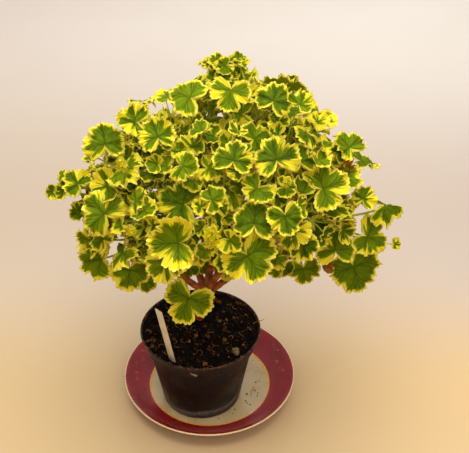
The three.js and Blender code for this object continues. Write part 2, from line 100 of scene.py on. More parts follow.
# Leaves placed one by one: the hub, the reach, the bearing and height of the upper face and the turn
# of the midrib, and for some of them how yellow they are and how far folded
FACE_LEAVES = [
    (-6, -46, 157, 21, -95, 40, 252, 0.1, 0.15),
    (-78, -22, 176, 20, -120, 25, 205, 0.15, 0.6),
    (-52, -48, 186, 18, -95, 28, 266, 0.3, 0.1),
    (-67, -54, 244, 20, -100, 40, 138, 0.25, 0.1),
    (-103, -10, 236, 10, -150, 30, 215, 0.5, 0.3),
    (-90, -20, 248, 13, -110, 55, 150, 0.5, 0.3),
    (-67, -20, 284, 18, -105, 42, 108, 0.25, 0.2),
    (-44, -14, 299, 14, -80, 50, 165, 0.8, 0.4),
    (126, -20, 167, 22.5, -75, 30, 280, 0.0, 0.05),
    (108, -42, 201, 17, -85, 38, 95, 0.5, 0.1),
    (147, -20, 228, 17, -60, 66, -25, 0.9, -0.9),
    (134, -30, 205, 18, -75, 40, 325, 0.55, 0.2),
    (95, -48, 263, 20, -85, 45, 15, 0.4, 0.1),
    (78, -40, 281, 13, -90, 50, 95),
    (116, -14, 277, 14, -60, 48, 110, 0.3, 0.3),
    (128, -30, 241, 11, -80, 52, 60),
    (-11, -84, 240, 22, -100, 34, 190, 0.35, 0.45),
    (39, -84, 228, 22, -85, 36, 300, 0.3, 0.1),
    (44, -74, 250, 18, -75, 44, 74, 0.2, 0.1),
    (-21, -80, 220, 18, -100, 30, 262, 0.75, 0.2),
    (-8, -66, 262, 20, -95, 42, 170, 0.25, 0.2),
    (60, -48, 288, 19, -85, 48, 100, 0.6, 0.2),
    (29, -54, 291, 16, -100, 46, 85, 0.3, 0.1),
    (18, 4, 325, 12, -110, 55, 150),
    (32, 12, 326, 11, -60, 55, 40),
    (27, -16, 327, 17, -90, 42, 262),
    (-3, -14, 320, 17, -120, 55, 178),
    (58, -16, 319, 15, -75, 52, 60),
    (77, -17, 315, 12, -60, 60, 40, 0.7, 0.3),
    (-26, -36, 300, 16, -105, 50, 120, 0.5, 0.2),
    (66, -72, 255, 15, -80, 40, 275, 0.4, 0.2),
]

# Small leaves placed one by one in the outline, its tufts and the shade round the limbs, as above
LOOSE_LEAVES = [
    (17, 14, 334, 8, -120, 40, 120),
    (32, 14, 336, 7.5, -60, 45, 60),
    (23, 10, 333, 8, -90, 30, 200),
    (-112, -12, 235, 7, -110, 30, 190, 0.7, 0.3),
    (-103, -12, 250, 6, -120, 50, 120, 0.7, 0.3),
    (86, -18, 163, 14, -80, 25, 270, 0.05, 0.15),
    (70, -22, 170, 10, -100, 25, 250, 0.1, 0.3),
    (156, -28, 196, 6, -60, 40, 330),
    (-8, 2, 148, 9, -100, 20, 250, 0.1, 0.2),
    (3, 14, 141, 8, -80, 20, 280, 0.1, 0.2),
    (12, 10, 146, 7.5, -90, 25, 265),
    (23, 6, 140, 7.5, -70, 20, 290),
    (-40, -44, 171, 9, -90, 25, 260, 0.2, 0.1),
    (61, -40, 182, 8.5, -80, 25, 290, 0.3, 0.1),
]

# Where no small leaf shows against the floor: across and down the picture, and radius, in its pixels
GAPS = [
    (181, 111, 8), (86, 236, 10), (112, 248, 12), (100, 262, 12), (102, 274, 8), (370, 150, 12),
    (366, 172, 5), (210, 113, 4), (226, 122, 5), (76, 163, 8), (72, 198, 7), (110, 147, 7),
    (128, 128, 4), (358, 252, 8), (311, 223, 5), (365, 215, 7),
]
# The upper outline of the crown in the picture: across, and down
SKYLINE = [
    (40, 200), (60, 178), (78, 165), (86, 130), (96, 119), (116, 108), (134, 110), (142, 120),
    (158, 108), (164, 88), (188, 84), (204, 84), (210, 58), (244, 56), (252, 67), (268, 78), (286, 84),
    (310, 98), (334, 118), (352, 132), (362, 150), (368, 180), (384, 196), (406, 207),
]

# Young shoots: the foot, the height, the width and how many leaves; and sprouts: the tip, how many
# leaves, and the least and the largest reach
YOUNG_SHOOTS = [
    ((13, -98, 248), 31, 11, 34),
    ((-50, -56, 285), 12, 8, 24),
    ((-44, -78, 243), 12, 7, 24),
    ((66, -66, 277), 10, 6, 20),
    ((94, -40, 243), 9, 6, 18),
    ((118, -30, 233), 9, 8, 16),
    ((118, -34, 218), 8, 8, 16),
]
SPROUTS = [
    ((14, 15, 333), 9, 4, 7.5),
    ((32, 15, 335), 9, 4, 7.5),
    ((24, 8, 324), 7, 5, 8.5),
    ((44, 10, 316), 8, 4, 8),
]
DRY_LEAVES = [
    ((102, -34, 180), 7, (0.1, -0.7, 0.5), (0.4, -0.2, -1.0)),
    ((113, -18, 259), 6, (0.2, -0.5, 0.8), (1.0, -0.3, 0.1)),
]

# What lies on the compost, each with its place and its size, and what lies over the rims
GRIT = [(31.0, -30.5, 7.6), (16.5, 9.5, 3.4), (22.5, 13.0, 2.6), (37.0, -20.0, 2.2), (24.5, -34.0, 1.8)]
CHIPS = [(-44.8, -3.3, 7.5), (-39.7, -13.0, 6.5), (-44.5, -14.8, 6.0), (-40.9, -22.0, 6.0),
         (34.6, 34.2, 8.0), (14.8, 35.4, 8.0)]
LUMPS = [(-3.6, -10.8, 4.2), (-9.0, -17.0, 3.2), (21.5, -15.9, 4.4), (4.9, -44.3, 4.6),
         (29.3, 13.8, 3.0), (43.2, -2.0, 2.6)]
CURLS = [(18.7, 10.0, 2.6), (31.0, 11.2, 3.4), (34.0, 8.0, 2.6), (-14.0, -2.0, 4.0), (14.0, -26.0, 5.0)]
COUNTS = dict(chips=125, crumbs=640, spilt=34, fibres=34, on_rim=46)
SPLASHES = [(-4.6, -49.9, 74.5, 2.4), (-2.6, -50.1, 73.6, 1.8), (-6.4, -49.8, 76.2, 1.5)]
SPILT_LUMP = ((41.1, -3.6, 5.7), (0.3, 0.2, 0.5), (2.0, 1.6, 1.3))
TWIG_OVER_RIM = [(46, 6, 82.4), (50.5, 7, 84.6), (53.5, 7.4, 84.8), (56, 9, 85.6)]
HAIR_IN_SAUCER = [(47.5, 6.5, 5.6), (46.5, 2.0, 5.7), (44.6, -1.5, 5.7), (45.6, -6.5, 5.5)]

# The backdrop's colours, left and right, with painted light in them: warm at the front and cool at the back
# as painted lamp colours, and darker in the middle than at the back as painted shade; and its rings; and the
# light: name, place, size, power, colour
PAPER_WITH_PAINTED_LIGHT = dict(front=((193, 166, 122), (205, 175, 128)), middle=((188, 171, 151), (186, 172, 160)),
             back=((218, 208, 200), (232, 227, 220)), fold=(190, 168, 140))
FLOOR_RINGS = [(0.7, 0), (1.3, 0), (2.0, 0.02), (2.35, 0.12), (2.6, 0.4), (2.7, 0.9), (2.72, 1.5)]
ROOM_LIGHT, ROOM_COLOUR = 0.72, (1.0, 0.96, 0.92, 1)
LAMPS = [
    ("overhead", (0.0, -0.05, 1.05), 0.9, 10.6, (1.0, 0.97, 0.92)),
    ("front", (0.3, -1.2, 1.0), 0.9, 6.5, (1.0, 0.94, 0.86)),
    ("far_side", (0.0, 1.9, 0.9), 1.0, 5.5, (1.0, 0.98, 0.96)),
]

# Corners of the plain blades in the solids: degrees, share of the reach, lift of the margin
BIG_CORNERS = [(139, 0.56, 0.7), (116, 0.9, -0.9), (91, 1, 0.9), (66, 0.93, -0.7), (45, 0.58, 1),
               (23, 0.94, -0.8)]
SMALL_CORNERS = [(139, 0.58, 0.7), (109, 0.96, -0.8), (75, 1, 0.8), (45, 0.58, -0.6), (21, 0.95, 0.5)]
# The fine blade's three lobes: half the middle one's width, the bearing and half width of the side
# ones, and where the notch at the stalk begins, all in degrees from the midrib
MIDDLE_LOBE, SIDE_LOBE, SIDE_HALF, NOTCH = 45, 95, 50, 145


def corners_round(half):
    other = [(-degrees, share, lift) for degrees, share, lift in half]
    return np.array([(0, 0, 0), *other, (0, 1.02, 0.9), *half[::-1]], float)


BIG_BLADE, SMALL_BLADE = corners_round(BIG_CORNERS), corners_round(SMALL_CORNERS)


# The plant, grown as in the solids
def dice(seed):
    """The same run of numbers from 0 to 1 for the same seed."""
    state = seed

    def roll():
        nonlocal state
        state = (state * 48271) % 2147483647
        return state / 2147483647

    return roll


def unit(v):
    return v / math.sqrt(v @ v)


def far(a, b):
    return math.sqrt((a - b) @ (a - b))


def bearing(degrees_round, degrees_up):
    flat = math.cos(math.radians(degrees_up))
    round_ = math.radians(degrees_round)
    return np.array([flat * math.cos(round_), flat * math.sin(round_), math.sin(math.radians(degrees_up))])


def in_crown(way, share):
    height = way[2] * (CROWN["up"] if way[2] > 0 else CROWN["down"])
    place = np.array([way[0] * CROWN["across"] + CROWN["lean"] * height, way[1] * CROWN["deep"], height])
    return place * share + CROWN_MIDDLE


def way_to(point):
    x, y, z = point - CROWN_MIDDLE
    height = CROWN["up"] if z > 0 else CROWN["down"]
    return np.array([(x - CROWN["lean"] * z) / CROWN["across"], y / CROWN["deep"], z / height])


def spread(i, count, top, bottom):
    z = top - ((top - bottom) * (i + 0.5)) / count
    flat = math.sqrt(1 - z * z)
    round_ = i * math.pi * (3 - math.sqrt(5))
    return np.array([flat * math.cos(round_), flat * math.sin(round_), z])


def above_skirt(p):
    return p[2] > 158 - 0.83 * p[1]


def seen(p):
    """Where the camera sees a place: across and down the picture, in its pixels."""
    x, y, z = p - EYE
    down = math.radians(LOOKS_DOWN)
    ahead = y * math.cos(down) - z * math.sin(down)
    up = y * math.sin(down) + z * math.cos(down)
    return PICTURE[0] / 2 + LENS * x / ahead, PICTURE[1] / 2 - LENS * up / ahead


def in_outline(at, reach):
    """False where a small leaf would stand out above the crown or fill one of its gaps."""
    across, down = seen(at)
    if down - reach < np.interp(across, *zip(*SKYLINE)):
        return False
    return all(math.hypot(across - x, down - y) > radius + 0.8 * reach for x, y, radius in GAPS)


def steps_along(points, radius):
    """Marks a few millimetres apart along a line, as rows of x, y, z and the radius there."""
    made = []
    for a, b in zip(points, points[1:]):
        parts = math.ceil(far(a, b) / 3)
        made += [[*(a + (b - a) * (k / parts)), radius] for k in range(parts + 1)]
    return np.array(made)


def apart(marks, others):
    """True if the marks keep off the others, each of which carries its branch's radius."""
    if len(others) == 0:
        return True
    gaps = np.linalg.norm(marks[:, None, :3] - others[None, :, :3], axis=2)
    return bool((gaps > others[:, 3] + CLEARANCE["stalk"]).all())


def clear_of(middle, face, reach, points, room):
    """True if no point lies in the slab that a waved blade fills. Blades or points may be many."""
    offset = points - middle[..., None, :]
    high = (offset * face[..., None, :]).sum(-1) - (reach * CUP * 0.5)[..., None]
    slab = (reach * (WAVE + 0.04) + room)[..., None]
    inside = (np.abs(high) <= slab) & ((offset ** 2).sum(-1) - high ** 2 <= (reach + room)[..., None] ** 2)
    return not bool(inside.any())


class Leaf:
    """A blade: its hub, reach, upper face, midrib, and the marks that stand for its outline."""

    def __init__(self, at, reach, face, ahead):
        self.at, self.reach, self.face, self.more, self.look = at, reach, face, False, None
        self.ahead = unit(ahead - face * (ahead @ face))
        self.left = np.cross(face, self.ahead)
        self.middle = at + self.ahead * (reach * 0.15)
        degrees, share, lift = (BIG_BLADE if reach > BIG_REACH else SMALL_BLADE).T
        turn = np.radians(degrees)
        out = reach * share
        up = reach * (WAVE * lift * share + CUP * share * share)
        rim = at + self.ahead * (out * np.cos(turn))[:, None]
        rim = rim + self.left * (out * np.sin(turn))[:, None] + face * up[:, None]
        marks = np.vstack([rim, rim[1:] + (at - rim[1:]) * 0.45])
        self.marks = np.vstack([marks, np.repeat(marks[:1], 27 - len(marks), axis=0)])

    def grow_stalk(self, shoot):
        """Sets the stalk's line from the shoot, and tells how steeply it rises into the blade."""
        self.shoot = shoot
        share = 0.04 + STALK_STEP * (len(shoot["leaves"]) % 6)
        self.start = shoot["tip"] + (shoot["base"] - shoot["tip"]) * share
        run = far(self.start, self.at)
        self.bow = self.at - self.face * (0.36 * run) - self.ahead * (0.22 * run)
        t = (np.arange(1, 9) / 9)[:, None]
        line = self.start * (1 - t) ** 2 + self.bow * (2 * t * (1 - t)) + self.at * t ** 2
        self.stalk = np.hstack([line, np.full((8, 1), PETIOLE)])
        middle = (self.start + self.at) / 4 + self.bow / 2
        return unit(self.at - middle) @ self.face


# The leaves already there, as arrays, for the tests that keep new ones clear
grown = []
crowd = dict(middle=np.zeros((0, 3)), face=np.zeros((0, 3)), reach=np.zeros(0), marks=np.zeros((0, 27, 3)),
             stalk=np.zeros((0, 8, 4)), shoot=np.zeros(0, int))


def fits(leaf, ease=0.0):
    """True if the leaf and its stalk cross nothing. Ease takes that much off every clearance."""
    gaps = np.linalg.norm(crowd["middle"] - leaf.middle, axis=1)
    near = gaps <= crowd["reach"] + leaf.reach + 60
    middle, face, reach, marks, stalks, owner = (rows[near] for rows in crowd.values())
    others, own = (middle, face, reach), (leaf.middle, leaf.face, np.array(leaf.reach, float))
    tests = [
        (others, leaf.marks, "blade"), (own, marks, "blade"), (others, leaf.stalk, "stalk_on_blade"),
        (own, stalks, "stalk_on_blade"), (own, wood_marks, "wood_on_blade"),
        (own, stem_marks, "stem_on_blade"),
    ]
    for blades, points, kind in tests:
        if not clear_of(*blades, points[..., :3].reshape(-1, 3), CLEARANCE[kind] - ease):
            return False
    elsewhere = stalks[owner != leaf.shoot["number"]].reshape(-1, 4)
    return ((ease > 0 or apart(leaf.stalk, elsewhere)) and apart(leaf.stalk, wood_marks)
            and apart(leaf.stalk, stem_marks[stem_owner != leaf.shoot["number"]]))


def add(leaf, shoot, ease=0.0):
    if leaf.grow_stalk(shoot) < LEAST_RISE or not fits(leaf, ease):
        return False
    grown.append(leaf)
    shoot["leaves"].append(leaf)
    news = (leaf.middle, leaf.face, leaf.reach, leaf.marks, leaf.stalk, shoot["number"])
    for key, value in zip(crowd, news):
        crowd[key] = np.concatenate([crowd[key], np.array([value])])
    return True


def up_trunk(share):
    return TRUNK_FOOT + (FORK - TRUNK_FOOT) * share


def make_shoots():
    made = []
    for i in range(SHOOTS["count"]):
        way = spread(i, SHOOTS["count"], 0.99, -0.5)
        tip, base = in_crown(way, SHOOTS["tip"]), in_crown(way, SHOOTS["base"])
        if above_skirt(tip):
            marks = steps_along([base, tip], SHOOTS["radius"])
            made.append(dict(number=len(made) + 1, way=way, tip=tip, base=base, leaves=[], marks=marks))
    return made


def twig_to(shoot, buds, others):
    """A twig leaves the nearest free bud from where it passes no other shoot."""
    along = unit(shoot["tip"] - shoot["base"])
    end = shoot["base"] - along * SEAT_GAP
    order = sorted(buds, key=lambda bud: far(bud, end) + max(0, bud[2] - end[2]))
    lines = [[start, end - along * (far(start, end) * 0.3), end] for start in order]
    chosen = next((line for line in lines if apart(steps_along(line, TWIG_RADIUS), others)), lines[0])
    buds[:] = [bud for bud in buds if bud is not chosen[0]]
    return chosen


def nearest_shoots(way, count):
    return sorted(shoots, key=lambda shoot: -(shoot["way"] @ way))[:count]


def nearest_tip(place):
    return min((shoot["tip"] for shoot in shoots), key=lambda tip: far(tip, place))


def turned_about(axis, v, degrees):
    a = math.radians(degrees)
    return v * math.cos(a) + np.cross(axis, v) * math.sin(a) + axis * ((axis @ v) * (1 - math.cos(a)))


def add_face_leaves(rows, ease=0.0, more=False):
    for x, y, z, reach, round_, up, turn, *look in rows:
        face = bearing(round_, up)
        ahead = turned_about(face, unit(np.cross(UP, face)), turn)
        at = np.array([x, y, z], float)
        near = nearest_shoots(unit(way_to(at)), 4)
        tries = (Leaf(at + SIGHT * step, reach, face, ahead) for step in SLIDES)
        if any(add(leaf, shoot, ease) for leaf in tries for shoot in near):
            grown[-1].look, grown[-1].more = look, more


def scatter(sites, tries, roll, wanted, least=12, most=19, inner=0.7, outer=1.06, ease=0.0, more=False):
    """One leaf for each site of an even spread, swayed a little, faced outwards and up."""
    for i in range(sites):
        way = spread(i, sites, 0.98, -0.6)
        for _ in range(tries):
            draws = np.array([roll() for _ in range(8)])
            where = unit(way + (draws[:3] - 0.5) * SWAY)
            at = in_crown(where, inner + (outer - inner) * draws[3])
            reach = least + (most - least) * draws[4]
            if not above_skirt(at) or not wanted(where) or (more and not in_outline(at, reach)):
                continue
            out = unit(where / np.array([CROWN["across"], CROWN["deep"], CROWN["up"]]))
            face = unit(out * 0.8 + (draws[5:] - 0.5) * TILT + UP * LIFT)
            shoot = nearest_shoots(where, 1)[0]
            leaf = Leaf(at, reach, face, at - shoot["tip"])
            if add(leaf, shoot, ease):
                leaf.more = more
                break


shoots = make_shoots()
limbs = [[up_trunk(share), np.array(bend, float), np.array(end, float)] for share, bend, end in LIMBS]
buds = [bend + (end - bend) * ((i + 1) / BUDS_PER_LIMB)
        for _, bend, end in limbs for i in range(BUDS_PER_LIMB)]
twigs = [twig_to(shoot, buds, np.vstack([each["marks"] for each in shoots if each is not shoot]))
         for shoot in shoots]
wood_marks = np.vstack([
    steps_along([up_trunk(0), FORK], TRUNK_RADIUS),
    *[steps_along(points, LIMB_RADIUS) for points in limbs],
    *[steps_along(points, TWIG_RADIUS) for points in twigs],
])
stem_marks = np.vstack([shoot["marks"] for shoot in shoots])
stem_owner = np.concatenate([[shoot["number"]] * len(shoot["marks"]) for shoot in shoots])
# The leaves of the solids, and then the small ones that only this script adds
add_face_leaves(FACE_LEAVES)
plant_dice = dice(20261)
scatter(190, 40, plant_dice, lambda where: where @ SIGHT < -0.15)
scatter(130, 16, plant_dice, lambda where: True)
add_face_leaves(LOOSE_LEAVES, 3.0, True)
lit_dice = dice(1907)
scatter(460, 26, lit_dice, lambda where: where @ SIGHT < -0.1, 8.5, 14, 0.78, 1.05, 2.2, True)
scatter(420, 14, lit_dice, lambda where: True, 7, 12, 0.6, 1.04, 2.2, True)


# Ways of working
def to_world(points):
    """From millimetres about the pot's axis to the frame's metres."""
    return (np.asarray(points, float) + ORIGIN / MM) * MM


def deselect():
    bpy.ops.object.select_all(action="DESELECT")


def alone(piece):
    deselect()
    piece.select_set(True)
    bpy.context.view_layer.objects.active = piece
    return piece


def open_mesh():
    """Into the active piece's mesh, with all of it chosen."""
    bpy.ops.object.mode_set(mode="EDIT")
    bpy.ops.mesh.select_all(action="SELECT")


def close_mesh():
    bpy.ops.object.mode_set(mode="OBJECT")


def apply_modifier(piece, kind, **settings):
    alone(piece)
    modifier = piece.modifiers.new(kind.title(), kind)
    for key, value in settings.items():
        setattr(modifier, key, value)
    bpy.ops.object.modifier_apply(modifier=modifier.name)


def round_edges(piece, width, degrees):
    angle = math.radians(degrees)
    apply_modifier(piece, "BEVEL", width=width * MM, segments=2, limit_method="ANGLE", angle_limit=angle)


def settle(piece):
    """The object goes to the origin, unturned, with its place in its mesh."""
    alone(piece)
    bpy.ops.object.transform_apply(location=True, rotation=True, scale=True)
    return piece


def linked(name, data):
    """A new object on the scene, of this data."""
    made = bpy.data.objects.new(name, data)
    bpy.context.scene.collection.objects.link(made)
    return made


def finished(piece, name, slot, *finishes, replaces=(), smooth=40):
    """Names the piece, gives it its finishes, and says what it rides on and stands for."""
    alone(piece)
    piece.name = piece.data.name = name
    bpy.ops.object.shade_smooth_by_angle(angle=math.radians(smooth))
    if finishes:
        piece.data.materials.clear()
        for finish in finishes:
            piece.data.materials.append(finish.material)
    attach(piece, "root")
    if replaces:
        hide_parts(*replaces)
    return piece


def draw_rings(rings, x=0.0, y=0.0, size=1.0):
    """Draws what is chosen out, ring by ring, through the radii and heights."""
    for (r0, z0), (r1, z1) in zip(rings, rings[1:]):
        bpy.ops.mesh.extrude_region()
        bpy.ops.transform.resize(value=(r1 / r0, r1 / r0, 1), center_override=(x, y, z0 * size))
        bpy.ops.transform.translate(value=(0, 0, (z1 - z0) * size))


def turned(profile, sides, x=0.0, y=0.0):
    """A piece thrown on a wheel: a disc drawn out ring by ring through the radii and heights."""
    deselect()
    (radius, height), (x, y, _) = profile[0], to_world((x, y, 0))
    spot = (x, y, height * MM)
    bpy.ops.mesh.primitive_circle_add(vertices=sides, radius=radius * MM, fill_type="NGON", location=spot)
    piece = settle(bpy.context.object)
    open_mesh()
    draw_rings(profile, x, y, MM)
    bpy.ops.mesh.select_all(action="SELECT")
    bpy.ops.mesh.remove_doubles(threshold=1e-6)
    bpy.ops.mesh.normals_make_consistent(inside=False)
    close_mesh()
    return piece


def stems(lines, steps=8, round_=2):
    """Round stems, each along a row of (point, handle before, handle after, radius)."""
    curve = bpy.data.curves.new("stalks", "CURVE")
    curve.dimensions = "3D"
    curve.resolution_u = steps
    curve.bevel_depth = MM
    curve.bevel_resolution = round_
    curve.use_fill_caps = True
    for line in lines:
        spline = curve.splines.new("BEZIER")
        spline.bezier_points.add(len(line) - 1)
        for knot, (at, before, after, radius) in zip(spline.bezier_points, line):
            knot.handle_left_type = knot.handle_right_type = "FREE"
            knot.co, knot.handle_left, knot.handle_right = (Vector(to_world(p)) for p in (at, before, after))
            knot.radius = radius
    alone(linked("stalks", curve))
    bpy.ops.object.convert(target="MESH")
    made = bpy.context.object
    made.data.materials.clear()
    return made


def bowed(points, radii):
    """Knots through the points, each handle a third of the way to its neighbour along the line."""
    points = [np.array(p, float) for p in points]
    knots = []
    for i, p in enumerate(points):
        before, after = points[max(i - 1, 0)], points[min(i + 1, len(points) - 1)]
        along = unit(after - before)
        knots.append((p, p - along * (far(before, p) / 3), p + along * (far(after, p) / 3), radii[i]))
    return knots


def smoothly(t):
    t = np.clip(t, 0, 1)
    return t * t * (3 - 2 * t)


def wander(points, size, seed=0.0):
    """Smooth noise from about -1 to 1 at each point."""
    return np.array([noise.noise(Vector(p) * size + Vector((seed, seed * 0.7, -seed))) for p in points])


def rows_of(source, key):
    """A field of all vertices or normals, as rows of three."""
    flat = np.empty(len(source) * 3)
    source.foreach_get(key, flat)
    return flat.reshape(-1, 3)


def points_of(piece):
    return rows_of(piece.data.vertices, "co")


def put_points(piece, points):
    piece.data.vertices.foreach_set("co", np.asarray(points, float).ravel())
    piece.data.update()


def joined(first, *others):
    """Others become part of first, each keeping its own finish."""
    deselect()
    for each in (first, *others):
        each.select_set(True)
    bpy.context.view_layer.objects.active = first
    bpy.ops.object.join()
    return first


# Finishes
def shade(red, green, blue):
    """A colour as it looks on screen, from 0 to 255, as the light it stands for."""
    return (*[(c / 255) ** 2.2 for c in (red, green, blue)], 1.0)


class Finish:
    """A material, and short ways to add the nodes that feed its surface."""

    def __init__(self, name, roughness, gloss=0.5):
        self.material = bpy.data.materials.new(name)
        self.material.use_nodes = True
        self.tree = self.material.node_tree
        self.surface = self.tree.nodes["Principled BSDF"]
        self.surface.inputs["Roughness"].default_value = roughness
        self.surface.inputs["Specular IOR Level"].default_value = gloss
        self.place = self.node("TexCoord").outputs["Object"]

    def feed(self, socket, value):
        if isinstance(value, bpy.types.NodeSocket):
            self.tree.links.new(value, socket)
        else:
            socket.default_value = value

    def node(self, kind, inputs=(), **settings):
        made = self.tree.nodes.new("ShaderNode" + kind)
        for key, value in settings.items():
            setattr(made, key, value)
        for key, value in dict(inputs).items():
            self.feed(made.inputs[key], value)
        return made

    def math(self, operation, *values, clamp=False):
        return self.node("Math", enumerate(values), operation=operation, use_clamp=clamp).outputs[0]

    def times(self, first, second):
        return self.math("MULTIPLY", first, second)

    def plus(self, first, second):
        return self.math("ADD", first, second)

    def minus(self, first, second, clamp=False):
        return self.math("SUBTRACT", first, second, clamp=clamp)

    def run(self, value, slope, start):
        """A straight line: the value times the slope, and the start added."""
        return self.math("MULTIPLY_ADD", value, slope, start)

    def vector(self, operation, *values, output=0):
        return self.node("VectorMath", enumerate(values), operation=operation).outputs[output]

    def moved(self, first, second):
        return self.vector("ADD", first, second)

    def scaled(self, vector, size):
        return self.node("VectorMath", {0: vector, "Scale": size}, operation="SCALE").outputs[0]

    def parts(self, vector):
        """The vector's three parts."""
        return self.node("SeparateXYZ", {0: vector}).outputs

    def between(self, value, low, high, to_low=0.0, to_high=1.0):
        """Value as it goes from low to high, eased into to_low to to_high."""
        inputs = {"Value": value, "From Min": low, "From Max": high, "To Min": to_low, "To Max": to_high}
        return self.node("MapRange", inputs, interpolation_type="SMOOTHSTEP").outputs[0]

    def band(self, value, low, full, fade, gone):
        """1 between full and fade, and 0 below low and above gone."""
        return self.times(self.between(value, low, full), self.between(value, fade, gone, 1.0, 0.0))

    def mixed(self, share, first, second):
        inputs = {"Factor": share, 6: first, 7: second}
        return self.node("Mix", inputs, data_type="RGBA").outputs[2]

    def noise(self, where, size, detail=3.0, rough=0.55):
        inputs = {"Vector": where, "Scale": size, "Detail": detail, "Roughness": rough}
        return self.node("TexNoise", inputs).outputs["Fac"]

    def cells(self, where, size, feature="F1"):
        return self.node("TexVoronoi", {"Vector": where, "Scale": size}, feature=feature).outputs[0]

    def colour(self, value):
        self.feed(self.surface.inputs["Base Color"], value)

    def rough(self, value):
        self.feed(self.surface.inputs["Roughness"], value)

    def relief(self, height, strength, distance):
        made = self.node("Bump", {"Height": height, "Strength": strength, "Distance": distance})
        self.feed(self.surface.inputs["Normal"], made.outputs[0])


def leaf_finish():
    """Green round the veins, a jagged yellow to cream margin of changing width, olive beneath."""
    leaf = Finish("variegated_leaf", 0.62, 0.14)
    flat = leaf.node("UVMap", uv_map="blade").outputs[0]
    flat = leaf.vector("MULTIPLY_ADD", flat, (2, 2, 0), (-1, -1, 0))
    lot, yellow, under = leaf.parts(leaf.node("Attribute", attribute_name="kind").outputs["Vector"])
    rim = leaf.node("Attribute", attribute_name="rim").outputs["Fac"]
    x, y = leaf.parts(flat)[:2]
    turn = leaf.math("ABSOLUTE", leaf.math("ARCTAN2", y, x))
    out = leaf.vector("LENGTH", flat, output="Value")
    way = leaf.vector("NORMALIZE", flat)
    lots = leaf.node("CombineXYZ", {0: lot, 1: lot, 2: lot}).outputs[0]
    own = leaf.node("TexWhiteNoise", {"W": lot}, noise_dimensions="1D").outputs[0]
    own_place = leaf.moved(flat, lots)

    def rays(closeness, size, detail, rough=0.55, start=lots):
        """Noise that runs outwards from the hub."""
        return leaf.noise(leaf.moved(leaf.scaled(way, closeness), start), size, detail, rough)

    # Veins: one up each lobe, with two pairs forking off it
    lobe = leaf.math("MINIMUM", turn, leaf.math("ABSOLUTE", leaf.minus(turn, 1.58)))
    nearest = leaf.times(lobe, out)
    for start, slope in ((0.12, 0.7), (0.4, 0.6)):
        fork = leaf.times(leaf.minus(out, start, clamp=True), slope)
        gap = leaf.times(leaf.math("ABSOLUTE", leaf.minus(lobe, fork)), out)
        nearest = leaf.math("MINIMUM", nearest, gap)
    vein = leaf.between(nearest, 0.0, 0.04, 1.0, 0.0)

    # The margin: wide in some sectors and a thin line in others, with sharp fingers running inwards
    patch = leaf.times(leaf.between(rays(1.1, 1.5, 1.0), 0.48, 0.66), yellow)
    patch = leaf.math("MAXIMUM", patch, leaf.run(yellow, 2.0, -2.0))
    streak = rays(10.0, 1.6, 3.0, 0.75, own_place)
    jag = leaf.times(leaf.minus(streak, 0.5), leaf.run(patch, 1.1, 0.3))
    width = leaf.times(leaf.plus(leaf.run(patch, 0.48, 0.088), jag), leaf.between(out, 0.0, 0.55))
    edge = leaf.minus(rim, width)
    green = leaf.between(edge, -0.015, 0.015)

    mottle = leaf.noise(leaf.place, 240.0, 3.0)
    light_green = leaf.mixed(mottle, shade(116, 136, 0), shade(140, 156, 0))
    deep_green = leaf.mixed(own, shade(78, 104, 0), shade(124, 148, 0))
    deep_green = leaf.mixed(leaf.between(mottle, 0.4, 0.7, 0.0, 0.6), deep_green, shade(130, 154, 0))
    blade = leaf.mixed(leaf.between(edge, 0.0, 0.09), light_green, deep_green)
    blade = leaf.mixed(leaf.times(vein, 0.6), blade, shade(40, 62, 0))
    cream = leaf.mixed(leaf.between(rim, 0.0, 0.09), shade(255, 247, 116), shade(252, 238, 54))
    # Painted shade: darker streaks across the cream margin where its crinkles would fall into shadow
    crease_shade = leaf.between(rays(13.0, 1.7, 2.0, 0.6), 0.5, 0.66, 0.0, 0.6)
    cream = leaf.mixed(crease_shade, cream, shade(200, 176, 22))
    cream = leaf.mixed(leaf.between(yellow, 1.8, 2.0), cream, shade(255, 246, 24))
    top = leaf.mixed(green, cream, blade)
    beneath = leaf.mixed(mottle, shade(122, 140, 14), shade(148, 160, 26))
    beneath = leaf.mixed(leaf.times(vein, 0.5), beneath, shade(160, 160, 50))
    beneath = leaf.mixed(green, shade(246, 230, 100), beneath)
    colour = leaf.mixed(under, top, beneath)
    leaf.colour(colour)

    # Puckers and a crimped rim, and the light that comes through the blade
    crimps = leaf.times(rays(9.0, 2.0, 2.0), leaf.between(rim, 0.0, 0.3, 3.4, 0.0))
    puckers = leaf.noise(own_place, 9.0, 2.0)
    leaf.relief(leaf.plus(leaf.run(vein, -0.6, puckers), crimps), 0.6, 0.0009)
    through = leaf.node("Gamma", {"Color": colour, "Gamma": 0.6}).outputs[0]
    glow = leaf.node("BsdfTranslucent", {"Color": through})
    both = leaf.node("MixShader", {0: 0.42, 1: leaf.surface.outputs[0], 2: glow.outputs[0]})
    leaf.tree.links.new(both.outputs[0], leaf.tree.nodes["Material Output"].inputs["Surface"])
    return leaf


def stem_finish(name, young, old, size=180.0):
    stem = Finish(name, 0.55, 0.2)
    patches = stem.noise(stem.place, size, 3.0)
    stem.colour(stem.mixed(stem.between(patches, 0.35, 0.65), shade(*young), shade(*old)))
    stem.relief(stem.noise(stem.place, size * 6, 2.0), 0.3, 0.0003)
    return stem


